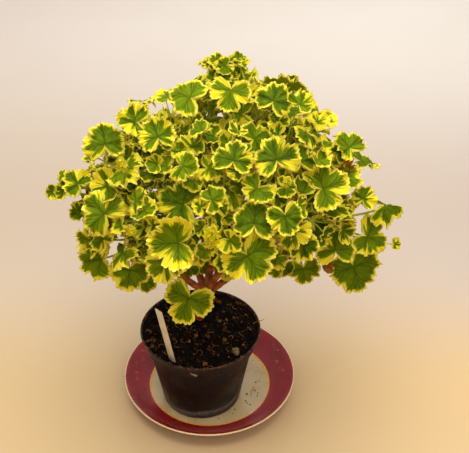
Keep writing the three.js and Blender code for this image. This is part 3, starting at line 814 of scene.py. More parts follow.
def bark_finish():
    """Red-brown wood with paler corky cracks, greener towards the twigs."""
    bark = Finish("stem_bark", 0.72)
    patches = bark.noise(bark.place, 150.0, 4.0)
    brown = bark.mixed(bark.between(patches, 0.35, 0.65), shade(126, 56, 14), shade(172, 100, 38))
    twig = bark.mixed(patches, shade(104, 84, 20), shade(128, 116, 34))
    colour = bark.mixed(bark.between(bark.parts(bark.place)[2], 0.165, 0.215), brown, twig)
    cracks = bark.between(bark.cells(bark.place, 420.0, "DISTANCE_TO_EDGE"), 0.0, 0.12, 1.0, 0.0)
    bark.colour(bark.mixed(bark.times(cracks, 0.45), colour, shade(58, 32, 14)))
    bark.relief(bark.minus(patches, bark.times(cracks, 0.5)), 0.6, 0.0008)
    return bark


def china_finish():
    """Maroon glaze with a worn gilt line round an off-white well and a pale lip."""
    china = Finish("banded_china", 0.3, 0.4)
    centre = to_world((SAUCER["x"], SAUCER["y"], 0))
    place = china.vector("SUBTRACT", china.place, (float(centre[0]), float(centre[1]), 0.0))
    x, y, z = china.parts(place)
    radius = china.math("SQRT", china.plus(china.times(x, x), china.times(y, y)))
    cloud = china.noise(place, 45.0, 3.0)
    clouded = china.between(cloud, 0.3, 0.7)
    speck = china.noise(place, 900.0, 2.0)
    red = china.mixed(clouded, shade(126, 22, 31), shade(143, 31, 43))
    red = china.mixed(china.between(speck, 0.66, 0.74, 0.0, 0.6), red, shade(176, 104, 96))
    flecks = china.between(china.noise(place, 420.0, 3.0, 0.7), 0.56, 0.62)
    worn = china.between(china.noise(place, 55.0, 1.0), 0.54, 0.6)
    worn = china.times(worn, china.band(radius, 0.0645, 0.066, 0.0715, 0.073))
    red = china.mixed(china.times(china.times(flecks, worn), 0.5), red, shade(214, 140, 60))
    well = china.mixed(clouded, shade(176, 151, 106), shade(188, 165, 122))
    gilt = china.mixed(china.between(speck, 0.4, 0.6), shade(236, 166, 44), shade(206, 132, 34))
    wobble = china.times(china.minus(china.noise(place, 120.0), 0.5), 0.0006)
    edge = china.plus(radius, wobble)
    colour = china.mixed(china.between(edge, 0.0536, 0.0539), well, gilt)
    colour = china.mixed(china.between(edge, 0.0552, 0.0555), colour, red)
    lip = china.times(china.between(edge, 0.0764, 0.077), china.between(z, 0.0163, 0.017))
    lip = china.times(lip, china.between(speck, 0.3, 0.5, 0.55, 1.0))
    china.colour(china.mixed(lip, colour, shade(226, 196, 150)))
    china.rough(china.between(cloud, 0.3, 0.7, 0.26, 0.34))
    return china


def pot_finish():
    """Black plastic, scuffed and dusty, with dried splashes near the foot."""
    black = Finish("black_plastic", 0.5, 0.3)
    place = black.place
    dust = black.noise(place, 60.0, 5.0, 0.65)
    grit = black.noise(place, 700.0, 2.0)
    colour = black.mixed(black.between(dust, 0.4, 0.75), shade(11, 9, 16), shade(20, 16, 24))
    slope = black.vector("DOT_PRODUCT", place, (-0.09, 0, 1), output="Value")
    tide = black.minus(slope, black.times(black.noise(place, 34.0, 5.0, 0.7), 0.015))
    line = black.band(tide, 0.004, 0.0088, 0.0098, 0.0114)
    line = black.times(line, black.between(grit, 0.3, 0.65, 0.3, 1.0))
    colour = black.mixed(black.times(line, 0.75), colour, shade(128, 110, 122))
    colour = black.mixed(black.between(tide, 0.0, 0.009, 0.22, 0.0), colour, shade(62, 52, 62))
    smear = black.between(black.noise(place, 170.0, 5.0, 0.7), 0.46, 0.6)
    high = black.times(black.between(black.parts(place)[2], 0.0795, 0.0825), smear)
    black.colour(black.mixed(black.times(high, 0.8), colour, shade(112, 66, 28)))
    black.rough(black.between(dust, 0.35, 0.7, 0.38, 0.62))
    black.relief(grit, 0.12, 0.0002)
    return black


def compost_finish(name, dark, brown, bright):
    soil = Finish(name, 0.9, 0.1)
    patches = soil.noise(soil.place, 240.0, 4.0, 0.7)
    colour = soil.mixed(soil.between(patches, 0.35, 0.62), shade(*dark), shade(*brown))
    soil.colour(soil.mixed(soil.between(soil.cells(soil.place, 620.0), 0.5, 0.9), colour, shade(*bright)))
    soil.relief(soil.noise(soil.place, 1400.0, 4.0), 0.8, 0.0006)
    return soil


def label_finish():
    white = Finish("label_plastic", 0.38)
    stain = white.noise(white.place, 90.0, 4.0)
    colour = white.mixed(white.between(stain, 0.4, 0.7), shade(214, 204, 184), shade(198, 184, 158))
    low = white.between(white.parts(white.place)[2], 0.078, 0.1, 0.8, 0.0)
    white.colour(white.mixed(white.times(low, stain), colour, shade(120, 92, 60)))
    white.relief(white.noise(white.place, 1500.0, 2.0), 0.05, 0.0001)
    return white


# Leaves
def flat_disc(columns, rings, scallops):
    """A thin two-faced disc one across, drawn inwards ring by ring, and read as plain arrays."""
    deselect()
    bpy.ops.mesh.primitive_circle_add(vertices=columns, radius=rings[0])
    piece = bpy.context.object
    open_mesh()
    for before, after in zip(rings, rings[1:]):
        bpy.ops.mesh.extrude_region()
        bpy.ops.transform.resize(value=(after / before,) * 3, center_override=(0, 0, 0))
    bpy.ops.mesh.extrude_region()
    bpy.ops.mesh.merge(type="CENTER")
    bpy.ops.mesh.select_all(action="SELECT")
    bpy.ops.mesh.normals_make_consistent(inside=False)
    close_mesh()
    if piece.data.polygons[0].normal.z < 0:
        piece.data.flip_normals()
    apply_modifier(piece, "SOLIDIFY", thickness=1.0, offset=0.0)
    x, y, z = points_of(piece).T
    turn, out = np.arctan2(y, x), np.hypot(x, y)
    edge = np.flatnonzero((out > 0.999) & (z > 0))
    disc = dict(turn=turn, out=out, side=np.sign(z), blade=np.stack([x, y], 1) / 2 + 0.5, scallops=scallops,
                edge=edge[np.argsort(turn[edge])], faces=[tuple(p.vertices) for p in piece.data.polygons])
    bpy.data.objects.remove(piece)
    return disc


def rim_distance(flat, outline):
    """How far each flat point lies from the closed outline, whose points come in order."""
    run = np.roll(outline, -1, axis=0) - outline
    offset = flat[:, None] - outline[None]
    share = np.clip((offset * run).sum(-1) / np.maximum((run * run).sum(-1), 1e-12), 0, 1)
    return np.linalg.norm(offset - run[None] * share[..., None], axis=2).min(1)


def plain_lift(leaf, where):
    """How far the solids' plain blade lifts its margin at these bearings, eased between its corners."""
    outline = BIG_BLADE if leaf.reach > BIG_REACH else SMALL_BLADE
    order = np.argsort(outline[1:, 0])
    at = np.array([-180, *outline[1:, 0][order], 180])
    lifts = np.array([0, *outline[1:, 2][order], 0])
    step = np.clip(np.searchsorted(at, where) - 1, 0, len(at) - 2)
    ease = smoothly((where - at[step]) / (at[step + 1] - at[step]))
    return lifts[step] + (lifts[step + 1] - lifts[step]) * ease


def blade_points(leaf, disc, chance, fold=0.0, cup=0.0, crisp=1.0):
    """The disc laid out as this leaf: three round lobes, scalloped teeth and a crisped margin."""
    scallops, turn, out, side = (disc[key] for key in ("scallops", "turn", "out", "side"))
    where = np.degrees(turn)
    degrees, left = np.abs(where), turn > 0
    middle = degrees < MIDDLE_LOBE
    lengths = 1 + chance.uniform(-0.08, 0.04, 3)
    sinuses = 0.7 - 0.009 * min(leaf.reach, 20) + 0.35 * chance.uniform(0, 1, 2)
    length = np.where(middle, lengths[0] + 0.03, np.where(left, lengths[1], lengths[2]))
    sinus = np.where(left, sinuses[0], sinuses[1])
    across = np.where(middle, degrees / MIDDLE_LOBE, np.abs(degrees - SIDE_LOBE) / SIDE_HALF)
    lobe = sinus + (length - sinus) * np.maximum(0, 1 - np.minimum(across, 1) ** 3.4) ** 0.5
    notch = sinus * np.clip((180 - degrees) / (180 - NOTCH), 0.06, 1) ** 0.7
    share = np.where(degrees > NOTCH, notch, lobe)
    first, second, third, fourth = chance.uniform(0, 2 * math.pi, 4)
    lobelets = 1 - np.abs(np.sin(turn * 5.7 + third)) ** 0.8
    uneven = 0.6 * np.sin(turn * 3 + second)
    teeth = 1 - np.abs(np.sin(turn * scallops * 1.55 + first + uneven)) ** 0.6
    share = share * (1 - out ** 5 * (0.08 * lobelets + 0.08 * teeth))
    flat = np.stack([share * out * np.cos(turn), share * out * np.sin(turn)], 1)
    rim = rim_distance(flat, flat[disc["edge"]])

    # Waves along the margin, each finer and nearer the rim than the last, then a curl and pleats
    wide = np.sin(turn * scallops * 0.7 + second + 1.6 * np.sin(turn * 2 + third))
    close = np.sin(turn * scallops * 1.5 + third + 1.5 * np.sin(turn * 3 + fourth))
    crimp = np.sin(turn * scallops * 2.2 + fourth + np.sin(turn * 5 + first))
    ruffle = share * (0.085 * wide * out ** 3 + 0.068 * close * out ** 5 + 0.046 * crimp * out ** 9)
    curl = share * out ** 4 * (chance.uniform(-0.24, 0.12) + 0.14 * np.sin(turn * 1.5 + fourth))
    pleat = -0.034 * np.cos(turn * 7.6) * np.minimum(out * 2, 1) * share
    up = WAVE * plain_lift(leaf, where) * share * out ** 1.4 + (CUP + cup) * (share * out) ** 2
    up = up + pleat + crisp * (ruffle + curl) + fold * np.abs(np.sin(turn)) * share * out
    thick = 0.5 - 0.2 * out ** 2
    x, y = leaf.reach * flat.T
    narrow = 1 / math.sqrt(1 + fold ** 2)
    place = leaf.at + np.outer(x, leaf.ahead) + np.outer(y * narrow, leaf.left)
    return place + np.outer(leaf.reach * up + side * thick / 2, leaf.face), rim


def leafy_mesh(name, blades):
    """One mesh of many blades. Each comes with its points, its disc, its lot and how yellow it is."""
    points, faces, flat, kind, rims = [], [], [], [], []
    count = 0
    for (place, rim), disc, lot, yellow in blades:
        points.append(to_world(place))
        faces += [tuple(i + count for i in face) for face in disc["faces"]]
        flat.append(disc["blade"])
        same = np.ones(len(place))
        kind.append(np.stack([same * lot, same * yellow, (1 - disc["side"]) / 2], 1))
        rims.append(rim)
        count += len(place)
    mesh = bpy.data.meshes.new(name)
    mesh.from_pydata(np.vstack(points).tolist(), [], faces)
    corner = np.empty(len(mesh.loops), int)
    mesh.loops.foreach_get("vertex_index", corner)
    mesh.uv_layers.new(name="blade").data.foreach_set("uv", np.vstack(flat)[corner].ravel())
    mesh.attributes.new("kind", "FLOAT_VECTOR", "POINT").data.foreach_set("vector", np.vstack(kind).ravel())
    mesh.attributes.new("rim", "FLOAT", "POINT").data.foreach_set("value", np.concatenate(rims))
    return linked(name, mesh)


def leafy_piece(name, blades, lines, leaf_paint, stalk_paint, steps=8, round_=2, replaces=()):
    """Blades and their stalks, where they have any, as one finished piece."""
    piece = leafy_mesh(name, blades)
    piece.data.materials.append(leaf_paint.material)
    if lines:
        stalks = stems(lines, steps, round_)
        stalks.data.materials.append(stalk_paint.material)
        piece = joined(piece, stalks)
    finished(piece, name, "foliage", smooth=60, replaces=replaces)


def stalk_line(leaf):
    """The stalk's one bow from its shoot into the blade, as two knots."""
    foot, bow, end = leaf.start, leaf.bow, leaf.at + leaf.ahead * (0.08 * leaf.reach)
    thick = 1.05 if leaf.reach > 12 else 0.75
    return [
        (foot, foot * 2 - bow, foot + (bow - foot) * (2 / 3), thick * 1.1),
        (end, end + (bow - end) * (2 / 3), end * 2 - bow, thick * 0.62),
    ]


def young_leaves(tip, way, count, least, most, chance):
    """Small folded leaves packed round a growing tip."""
    made = []
    level = unit(np.cross(way, np.array([0.3, 0.2, 1.0])))
    for i in range(count):
        side = turned_about(way, level, math.degrees(i * 2.4 + chance.uniform(0, 0.6)))
        share = (i + 0.5) / count
        at = tip + way * (3 * share) + side * (0.9 + 1.6 * (1 - share))
        face = unit(way * (0.5 + share) - side * 0.5 + chance.uniform(-0.3, 0.3, 3))
        made.append(Leaf(at, most + (least - most) * share, face, side + way * 0.4))
    return made


def make_young_shoots(leaf_paint, stalk_paint):
    """Upright cones of tiny crisped yellow leaves at the growing points that the light reaches,
    and flat sprouts of small leaves at the top."""
    chance = np.random.default_rng(23)
    tiny = flat_disc(24, [1.0, 0.6], 4)
    small = flat_disc(48, [1.0, 0.84, 0.5], 6)
    blades, lines = [], []
    across = np.array([0.3, 0.9, 0.2])

    def grow(leaf, disc, fold, cup, crisp, least, most):
        points = blade_points(leaf, disc, chance, fold, cup, crisp)
        blades.append((points, disc, chance.uniform(0, 60), chance.uniform(least, most)))

    for place, tall, wide, count in YOUNG_SHOOTS:
        foot = np.array(place, float)
        start = nearest_tip(foot)
        way = unit(np.array([0.1, -0.1, 1.0]) + unit(foot - CROWN_MIDDLE) * 0.5)
        points = [start, (start + foot) / 2 + way * -2, foot, foot + way * tall]
        lines.append(bowed(points, [1.25, 1.1, 0.95, 0.4]))
        for i in range(count):
            share = (i + 0.5) / count
            side = turned_about(way, unit(np.cross(way, across)), i * LEAF_SPIRAL)
            body = math.sin(math.pi * min(1, 0.25 + share * 0.75)) ** 0.6
            at = foot + way * (tall * (0.1 + 0.9 * share)) + side * (wide * 0.34 * body)
            face = unit(way * 0.7 + side * 0.7 + chance.uniform(-0.8, 0.8, 3))
            leaf = Leaf(at, wide * (0.24 - 0.07 * share) * chance.uniform(0.8, 1.2), face, way + side * 0.3)
            grow(leaf, tiny, chance.uniform(0, 0.8), 0.3, 2.4, 1.3, 2.7)
    for place, count, least, most in SPROUTS:
        tip = np.array(place, float)
        start = nearest_tip(tip)
        way = unit(UP + unit(tip - CROWN_MIDDLE) * 0.8)
        lines.append(bowed([start, (start + tip) / 2 + way * -1.5, tip], [1.3, 1.2, 1.0]))
        for i in range(count):
            side = turned_about(way, unit(np.cross(way, across)), i * LEAF_SPIRAL)
            size = least + (most - least) * ((count - i) / count) ** 1.5
            at = tip + side * (size * 0.75) + way * (0.16 * i)
            face = unit(way + side * 0.15 + chance.uniform(-0.25, 0.25, 3))
            fold, cup = chance.uniform(-0.2, 0.5), chance.uniform(-0.5, 0.1)
            grow(Leaf(at, size, face, side), small, fold, cup, 1.1, 0.6, 1.2)
            lines.append(bowed([tip - way * 1.5, at - face * 0.2], [0.5, 0.35]))
    leafy_piece("young_shoots", blades, lines, leaf_paint, stalk_paint, 6, 1)


def make_dry_leaves(paint):
    """Two withered leaves still hanging on."""
    chance = np.random.default_rng(31)
    disc = flat_disc(48, [1.0, 0.84, 0.6, 0.3], 8)
    blades, lines = [], []
    for place, size, face, ahead in DRY_LEAVES:
        leaf = Leaf(np.array(place, float), size, unit(np.array(face, float)), np.array(ahead, float))
        blades.append((blade_points(leaf, disc, chance, 0.9, 0.9, 2.2), disc, 0, 0))
        start = nearest_tip(leaf.at)
        lines.append(bowed([start, (leaf.at + start) / 2 + UP * 4, leaf.at], [0.6, 0.5, 0.4]))
    leafy_piece("dry_leaves", blades, lines, paint, paint, 8, 1)


def make_shoots_fine(leaf_paint, stalk_paint):
    chance = np.random.default_rng(11)
    large = flat_disc(144, [1.0, 0.93, 0.8, 0.5], 11)
    small = flat_disc(66, [1.0, 0.86, 0.5], 7)
    tiny = flat_disc(20, [1.0, 0.6], 4)
    for shoot in shoots:
        plain, extra, lines, more_lines = [], [], [], []
        for leaf in shoot["leaves"]:
            old = chance.uniform(0, 1)
            lot = chance.uniform(0, 60)
            if leaf.more:
                crisp, fold = chance.uniform(1.0, 1.5), chance.uniform(0, 0.6)
                yellow = 0.4 + 0.8 * old
                if leaf.look:
                    yellow, fold = leaf.look
                disc = large if leaf.reach > 11.5 and leaf.look else small
                cup = chance.uniform(-0.2, 0.3)
                extra.append((blade_points(leaf, disc, chance, fold, cup, crisp), disc, lot, yellow))
                more_lines.append(stalk_line(leaf))
                continue
            yellow, fold, cup = 0.2 + 0.75 * old ** 1.5, chance.uniform(-0.12, 0.3), 0
            crisp = 1.25 if leaf.reach > BIG_REACH else 1.35
            if leaf.look:
                yellow, fold = leaf.look
            elif leaf.at[2] > TOP_LEAVES:
                cup, crisp = -0.2, 0.8
            plain.append((blade_points(leaf, large, chance, fold, cup, crisp), large, lot, yellow))
            lines.append(stalk_line(leaf))
        for leaf in young_leaves(shoot["tip"], shoot["way"], 9, 2.2, 5.2, chance):
            points = blade_points(leaf, tiny, chance, 0.6, 0.5, 1.6)
            extra.append((points, tiny, chance.uniform(0, 60), chance.uniform(1.0, 1.5)))
        middle = (shoot["base"] + shoot["tip"]) / 2
        lines.append(bowed([shoot["base"], middle, shoot["tip"]], [1.75, 1.6, 1.35]))
        name, solid = f"leafy_shoot_{shoot['number']:02d}", f"shoot_{shoot['number']:02d}"
        leafy_piece(name, plain, lines, leaf_paint, stalk_paint, replaces=[solid])
        leafy_piece(f"small_leaves_{shoot['number']:02d}", extra, more_lines, leaf_paint, stalk_paint, 5, 1)


def make_wood(paint):
    """The stem, its limbs and twigs, grown into one skin and roughened like old wood."""
    waist = up_trunk(0.55) + np.array([-1.5, 0, 0])
    lines = [bowed([up_trunk(0), waist, FORK], [5.3, 4.7, 4.5])]
    lines += [bowed(points, [3.5, 2.9, 2.3]) for points in limbs]
    lines += [bowed(points, [1.35, 1.6, 1.6]) for points in twigs]
    wood = stems(lines, 10, 3)
    apply_modifier(wood, "REMESH", mode="VOXEL", voxel_size=1.15 * MM)
    apply_modifier(wood, "SMOOTH", factor=0.5, iterations=3)
    points = points_of(wood)
    knobs = wander(points, 260.0) * 0.00035 + wander(points, 90.0, 5.0) * 0.0004
    put_points(wood, points + rows_of(wood.data.vertex_normals, "vector") * knobs[:, None])
    finished(wood, "woody_stem", "bark", paint, smooth=60, replaces=["wood"])


# Pot, saucer, label and compost
def make_saucer(paint):
    rim, top, well, well_top = (SAUCER[key] for key in ("rim", "top", "well", "well_top"))
    foot_in, foot_out = SAUCER["foot_in"], SAUCER["foot_out"]
    profile = [
        (foot_in - 4, 1.6), (foot_in - 0.6, 1.4), (foot_in, 0), (foot_out, 0), (foot_out + 1.8, 2),
        (54, 3.1), (61, 4.6), (66.4, 7.2), (rim - 6.5, 10.6), (rim - 3, 13.6), (rim, top - 1.2),
        (rim - 0.1, top - 0.3), (rim - 1, top), (rim - 3.4, top - 1.1), (rim - 7.6, top - 4.4),
        (65.5, 10.4), (well + 7, well_top + 3), (well + 3, well_top + 1.1), (well, well_top + 0.15),
        (well - 2, well_top), (30, well_top),
    ]
    saucer = turned(profile, 128, SAUCER["x"], SAUCER["y"])
    round_edges(saucer, 0.5, 24)
    finished(saucer, "china_saucer", "china", paint, replaces=["saucer"])


def make_pot(paint):
    height, foot, neck, inner, rim, wall, floor, base = (
        POT[key] for key in ("height", "foot", "neck", "neck_radius", "rim", "wall", "floor", "base"))
    profile = [
        (foot - 5.6, 1.5), (foot - 4.6, 0), (foot - 1.2, 0), (foot, 1.5), (inner, neck),
        (inner + 2.4, neck + 1), (rim - 0.9, height - 2.4), (rim - 0.2, height - 1.9), (rim, height - 1),
        (rim - 0.2, height - 0.2), (rim - 0.7, height), (rim - wall, height - 0.2),
        (rim - wall - 0.8, height - 1.5), (inner + 2.4 - wall, neck + 1.4), (inner - wall, neck + 0.1),
        (foot - wall, floor),
    ]
    pot = turned([(r, z + base) for r, z in profile], 96)
    round_edges(pot, 0.35, 24)
    for i in range(DRAIN["count"]):
        a = (i + 0.5) / DRAIN["count"] * 2 * math.pi
        spot = to_world((DRAIN["ring"] * math.cos(a), DRAIN["ring"] * math.sin(a), base + floor / 2))
        deselect()
        radius = DRAIN["radius"] * MM
        bpy.ops.mesh.primitive_cylinder_add(vertices=24, radius=radius, depth=6 * MM, location=spot)
        drill = settle(bpy.context.object)
        apply_modifier(pot, "BOOLEAN", object=drill, operation="DIFFERENCE")
        bpy.data.objects.remove(drill)
    finished(pot, "nursery_pot", "black_plastic", paint, replaces=["pot"])


def make_label(paint):
    """A flat strip, drawn to a point at its foot, bowed a little and pushed in at a lean."""
    length = LABEL["length"] * MM
    deselect()
    bpy.ops.mesh.primitive_cube_add(size=1)
    label = bpy.context.object
    label.scale = (LABEL["width"] * MM, length, LABEL["thick"] * MM)
    settle(label)
    open_mesh()
    cuts = [LABEL["pointed"] * MM - length / 2] + [length * (share - 0.5) for share in (0.3, 0.5, 0.7, 0.9)]
    for cut in cuts:
        bpy.ops.mesh.select_all(action="SELECT")
        bpy.ops.mesh.bisect(plane_co=(0, cut, 0), plane_no=(0, 1, 0))
    close_mesh()
    points = points_of(label)
    points[points[:, 1] < -length / 2 + 1e-6, 0] *= 0.1
    put_points(label, points)
    round_edges(label, 0.16, 30)
    along = unit(LABEL_HEAD - LABEL_FOOT)
    a = math.radians(LABEL["turn"])
    wide = np.array([math.cos(a), -math.sin(a), 0])
    wide = unit(wide - along * (wide @ along))
    across, up, out = points_of(label).T / MM
    out = out + 0.5 * np.maximum(0, up / (LABEL["length"] / 2)) ** 2
    foot_at = LABEL_FOOT + along * (LABEL["length"] / 2 - LABEL["buried"])
    place = foot_at + np.outer(across, wide) + np.outer(up, along) + np.outer(out, np.cross(wide, along))
    put_points(label, to_world(place))
    finished(label, "plant_label", "white_plastic", paint, replaces=["label"])


def compost_height(x, y):
    inward = 1 - (x * x + y * y) / SOIL["edge"] ** 2
    lumps = np.sin(x * 0.31 + 1) * np.cos(y * 0.27) + 0.6 * np.sin(x * 0.13 - y * 0.37)
    lumps = lumps * np.minimum(1, inward * 6)
    return POT["base"] + SOIL["top"] + SOIL["mound"] * inward + SOIL["lump"] * lumps


def make_compost(paint):
    """The heap: a disc drawn up inside the pot, its top in close rings, raised into clods."""
    gap = SEAT_GAP + 0.1
    inside = POT["neck_radius"] - POT["wall"] - gap
    edge, base, top = SOIL["edge"], POT["base"], SOIL["top"]
    profile = [(POT["foot"] - POT["wall"] - gap, POT["floor"] + SEAT_GAP), (inside, POT["neck"]),
               (inside + 2.4, POT["neck"] + 1.8), (edge, top)]
    profile += [(edge * share, top + 1) for share in np.linspace(0.98, 0.02, 54)]
    heap = turned([(r, z + base) for r, z in profile], 160)
    points = points_of(heap)
    x, y, z = (points / MM - ORIGIN / MM).T
    clods = wander(points, 170.0) * 0.9 + wander(points, 420.0, 3.0) * 0.6 + wander(points, 900.0, 7.0) * 0.35
    height = compost_height(x, y) + clods * np.clip((edge - np.hypot(x, y)) / 4, 0, 1)
    points[:, 2] = np.where(z > base + top + 0.5, height * MM, points[:, 2])
    put_points(heap, points)
    finished(heap, "compost_heap", "compost", paint, replaces=["compost"], smooth=70)


def on_compost(chance, room=0.0):
    """A place on the compost, in the plan's millimetres, clear of the stem and the label."""
    stem = up_trunk(0.42)[:2]
    while True:
        out = (SOIL["edge"] - 2 - room) * math.sqrt(chance.uniform(0, 1))
        round_ = chance.uniform(0, 2 * math.pi)
        place = np.array([out * math.cos(round_), out * math.sin(round_)])
        if far(place, stem) > 6 + room and far(place, LABEL_FOOT[:2]) > 4:
            return place


def chip_shape():
    """A flake of bark: a block drawn out, its corners knocked off."""
    deselect()
    bpy.ops.mesh.primitive_cube_add(size=MM)
    chip = bpy.context.object
    chip.scale = (1, 0.45, 0.28)
    settle(chip)
    apply_modifier(chip, "BEVEL", width=0.1 * MM, segments=1)
    points = points_of(chip)
    put_points(chip, points * (1 + 0.35 * wander(points, 1700.0, 2.0))[:, None])
    return chip


def crumb_shape(fineness=1):
    deselect()
    bpy.ops.mesh.primitive_ico_sphere_add(subdivisions=fineness, radius=0.5 * MM)
    crumb = bpy.context.object
    points = points_of(crumb)
    put_points(crumb, points * (1 + 0.6 * wander(points, 2600.0, 4.0))[:, None])
    return crumb


def strewn(name, source, places, paint, smooth=60):
    """Copies of a shape, each its own mesh turned and sized as told, joined as one piece."""
    made = []
    for at, (x, y, z), size in places:
        each = source.copy()
        each.data = source.data.copy()
        bpy.context.scene.collection.objects.link(each)
        turn = Matrix.Rotation(z, 4, "Z") @ Matrix.Rotation(y, 4, "Y") @ Matrix.Rotation(x, 4, "X")
        each.data.transform(Matrix.Translation(Vector(to_world(at))) @ turn @ Matrix.Diagonal((*size, 1)))
        made.append(each)
    bpy.data.objects.remove(source)
    finished(joined(*made), name, "compost", paint, smooth=smooth)


def make_grit(paint):
    """A few pale stones on the compost, and a pale splash dried on the pot's wall."""
    chance = np.random.default_rng(15)
    places = []
    for x, y, size in GRIT:
        spot = (x, y, compost_height(x, y) + size * 0.2)
        places.append((spot, chance.uniform(0, FULL_TURN, 3), (size, size * 0.8, size * 0.7)))
    for x, y, z, size in SPLASHES:
        places.append(((x, y, z), (0, 0, 0), (size * 1.6, size * 0.4, size)))
    strewn("grit", crumb_shape(2), places, paint)


def make_chips(paint):
    chance = np.random.default_rng(5)
    places = []
    for i in range(COUNTS["chips"]):
        size = chance.uniform(1.6, 4.0) if i > 8 else chance.uniform(4.5, 6.5)
        x, y = on_compost(chance, size / 2)
        if i < len(CHIPS):
            x, y, size = CHIPS[i]
        turns = (chance.normal(0, 0.35), chance.normal(0, 0.3), chance.uniform(0, FULL_TURN))
        spot = (x, y, compost_height(x, y) + size * 0.06)
        places.append((spot, turns, (size, size * chance.uniform(0.7, 1.3), size)))
    strewn("bark_chips", chip_shape(), places, paint, 30)


def make_crumbs(paint):
    """Loose grains on the compost, and a few spilt in the saucer."""
    chance = np.random.default_rng(6)
    places = []
    for _ in range(COUNTS["crumbs"]):
        size = chance.uniform(0.8, 2.4)
        x, y = on_compost(chance, size / 2)
        spot = (x, y, compost_height(x, y) + size * 0.25)
        places.append((spot, chance.uniform(0, FULL_TURN, 3), (size, size, size * 0.8)))
    places.append(SPILT_LUMP)
    for _ in range(COUNTS["spilt"]):
        round_, size = chance.uniform(-2.6, 0.9), chance.uniform(0.5, 1.3)
        x = SAUCER["x"] + chance.uniform(38, 52) * math.cos(round_)
        y = SAUCER["y"] + chance.uniform(38, 52) * math.sin(round_)
        if math.hypot(x, y) >= POT["foot"] + 2:
            spot = (x, y, SAUCER["well_top"] + size * 0.3)
            places.append((spot, chance.uniform(0, FULL_TURN, 3), (size,) * 3))
    strewn("crumbs", crumb_shape(), places, paint, 30)


def make_lumps(paint):
    """Rounded bits of bark, and soil caught along the pot's front rim."""
    chance = np.random.default_rng(12)
    places = []
    for x, y, size in LUMPS:
        spot = (x, y, compost_height(x, y) + size * 0.3)
        places.append((spot, chance.uniform(0, FULL_TURN, 3), (size, size * 0.8, size * 0.75)))
    for _ in range(COUNTS["on_rim"]):
        a, size = math.radians(chance.normal(-88, 34)), chance.uniform(0.7, 1.7)
        out = POT["rim"] - chance.uniform(0.2, 2.4)
        height = POT["base"] + POT["height"] - 0.1 - chance.uniform(0, 0.5)
        spot = (out * math.cos(a), out * math.sin(a), height)
        places.append((spot, chance.uniform(0, FULL_TURN, 3), (size, size * 0.8, size * 0.6)))
    strewn("bark_lumps", crumb_shape(2), places, paint)


def make_fibres(paint):
    """Pale curled fibres in the compost."""
    chance = np.random.default_rng(8)
    starts = [(*on_compost(chance, 5), chance.uniform(2.5, 5.5)) for _ in range(COUNTS["fibres"])]
    lines = []
    for x, y, size in [*starts, *CURLS]:
        round_, turn = chance.uniform(0, FULL_TURN), chance.choice([-1, 1]) * chance.uniform(1.5, 4.0)
        row = []
        for t in np.linspace(0, 1, 5):
            a, out = round_ + turn * t, 0.6 + 0.4 * t
            px, py = x + size * math.cos(a) * out, y + size * math.sin(a) * out
            row.append([px, py, compost_height(px, py) + 0.5 + 0.7 * math.sin(math.pi * t)])
        lines.append(bowed(row, [0.14, 0.22, 0.24, 0.2, 0.12]))
    lines.append(bowed(TWIG_OVER_RIM, [0.25, 0.3, 0.25, 0.15]))
    lines.append(bowed(HAIR_IN_SAUCER, [0.16, 0.18, 0.16, 0.12]))
    finished(stems(lines, 5, 1), "fibres", "compost", paint, smooth=60)


# The plain floor, the light and the camera
def make_stage():
    """A wide pale floor that rises into a rim far off, so that every side has the same backdrop."""
    radius = FLOOR_RINGS[0][0]
    deselect()
    bpy.ops.mesh.primitive_circle_add(vertices=96, radius=radius, fill_type="NGON", location=(0, 0, -0.0006))
    floor = settle(bpy.context.object)
    open_mesh()
    bpy.ops.mesh.inset(thickness=0.1, use_outset=False)
    bpy.ops.mesh.select_all(action="DESELECT")
    bpy.ops.mesh.select_mode(type="EDGE")
    close_mesh()
    for edge in floor.data.edges:
        edge.select = all(math.hypot(*floor.data.vertices[i].co.xy) > radius - 0.01 for i in edge.vertices)
    bpy.ops.object.mode_set(mode="EDIT")
    draw_rings(FLOOR_RINGS)
    close_mesh()
    apply_modifier(floor, "SUBSURF", levels=2, render_levels=2)
    floor.name = floor.data.name = "pale_floor"
    paper = Finish("pale_paper", 0.8)
    x, y = paper.parts(paper.place)[:2]
    side = paper.between(x, -0.4, 0.4)
    front, middle, back = (
        paper.mixed(side, *[shade(*colour) for colour in PAPER_WITH_PAINTED_LIGHT[key]]) for key in ("front", "middle", "back"))
    # Painted light: warmer at the front and cooler at the back as painted lamp colours, and darker in the
    # middle than at the back as painted shade
    colour = paper.mixed(paper.between(y, 0.0, 0.2), front, middle)
    colour = paper.mixed(paper.between(y, 0.25, 0.8), colour, back)
    folds = paper.between(paper.noise(paper.place, 3.0, 3.0), 0.3, 0.7, 0.0, 0.12)
    paper.colour(paper.mixed(folds, colour, shade(*PAPER_WITH_PAINTED_LIGHT["fold"])))
    floor.data.materials.append(paper.material)
    bpy.ops.object.shade_smooth()


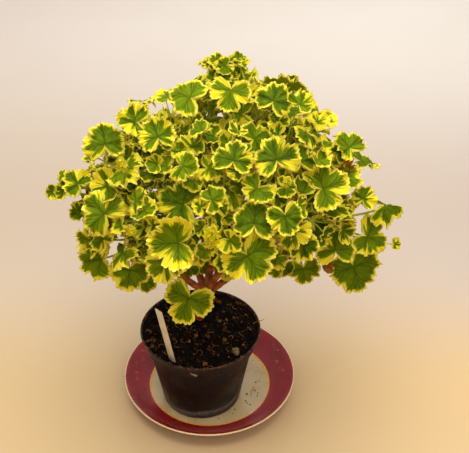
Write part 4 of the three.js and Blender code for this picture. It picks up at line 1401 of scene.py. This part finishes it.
def lamp(name, place, size, power, colour):
    """A round soft light that looks at the table, halfway between it and the middle."""
    light = bpy.data.lights.new(name, "AREA")
    light.shape, light.size, light.energy, light.color = "DISK", size, power, colour
    made = linked(name, light)
    made.location = place
    made.visible_camera = False
    target = Vector((place[0] / 2, place[1] / 2, 0))
    made.rotation_euler = (target - Vector(place)).to_track_quat("-Z", "Y").to_euler()


def make_light_and_camera():
    scene = bpy.context.scene
    scene.world = bpy.data.worlds.new("studio")
    scene.world.use_nodes = True
    room = scene.world.node_tree.nodes["Background"]
    room.inputs["Color"].default_value = ROOM_COLOUR
    room.inputs["Strength"].default_value = ROOM_LIGHT
    for row in LAMPS:
        lamp(*row)
    camera = linked("camera", bpy.data.cameras.new("camera"))
    camera.data.sensor_width = SENSOR
    camera.data.lens = LENS * SENSOR / PICTURE[0]
    camera.data.clip_start = 0.05
    camera.location = to_world(EYE)
    camera.rotation_euler = (math.radians(90 - LOOKS_DOWN), 0, 0)
    scene.camera = camera
    scene.view_settings.view_transform = "Standard"


leaf_paint = leaf_finish()
stalk_paint = stem_finish("leaf_stalk", (170, 184, 50), (132, 146, 26))
make_saucer(china_finish())
make_pot(pot_finish())
make_label(label_finish())
make_compost(compost_finish("damp_compost", (8, 6, 6), (18, 13, 11), (34, 22, 13)))
make_chips(compost_finish("bark_flakes", (28, 18, 12), (82, 50, 22), (132, 86, 38)))
make_crumbs(compost_finish("grains", (9, 7, 6), (24, 17, 13), (92, 62, 30)))
make_lumps(compost_finish("brown_bark", (82, 50, 24), (126, 80, 38), (150, 104, 56)))
make_fibres(stem_finish("pale_fibre", (152, 112, 62), (84, 56, 28), 300.0))
make_grit(compost_finish("pale_stone", (112, 98, 66), (150, 134, 98), (78, 64, 40)))
make_wood(bark_finish())
make_shoots_fine(leaf_paint, stalk_paint)
make_young_shoots(leaf_paint, stalk_paint)
make_dry_leaves(stem_finish("withered_leaf", (184, 124, 56), (132, 84, 38), 260.0))
make_stage()
make_light_and_camera()
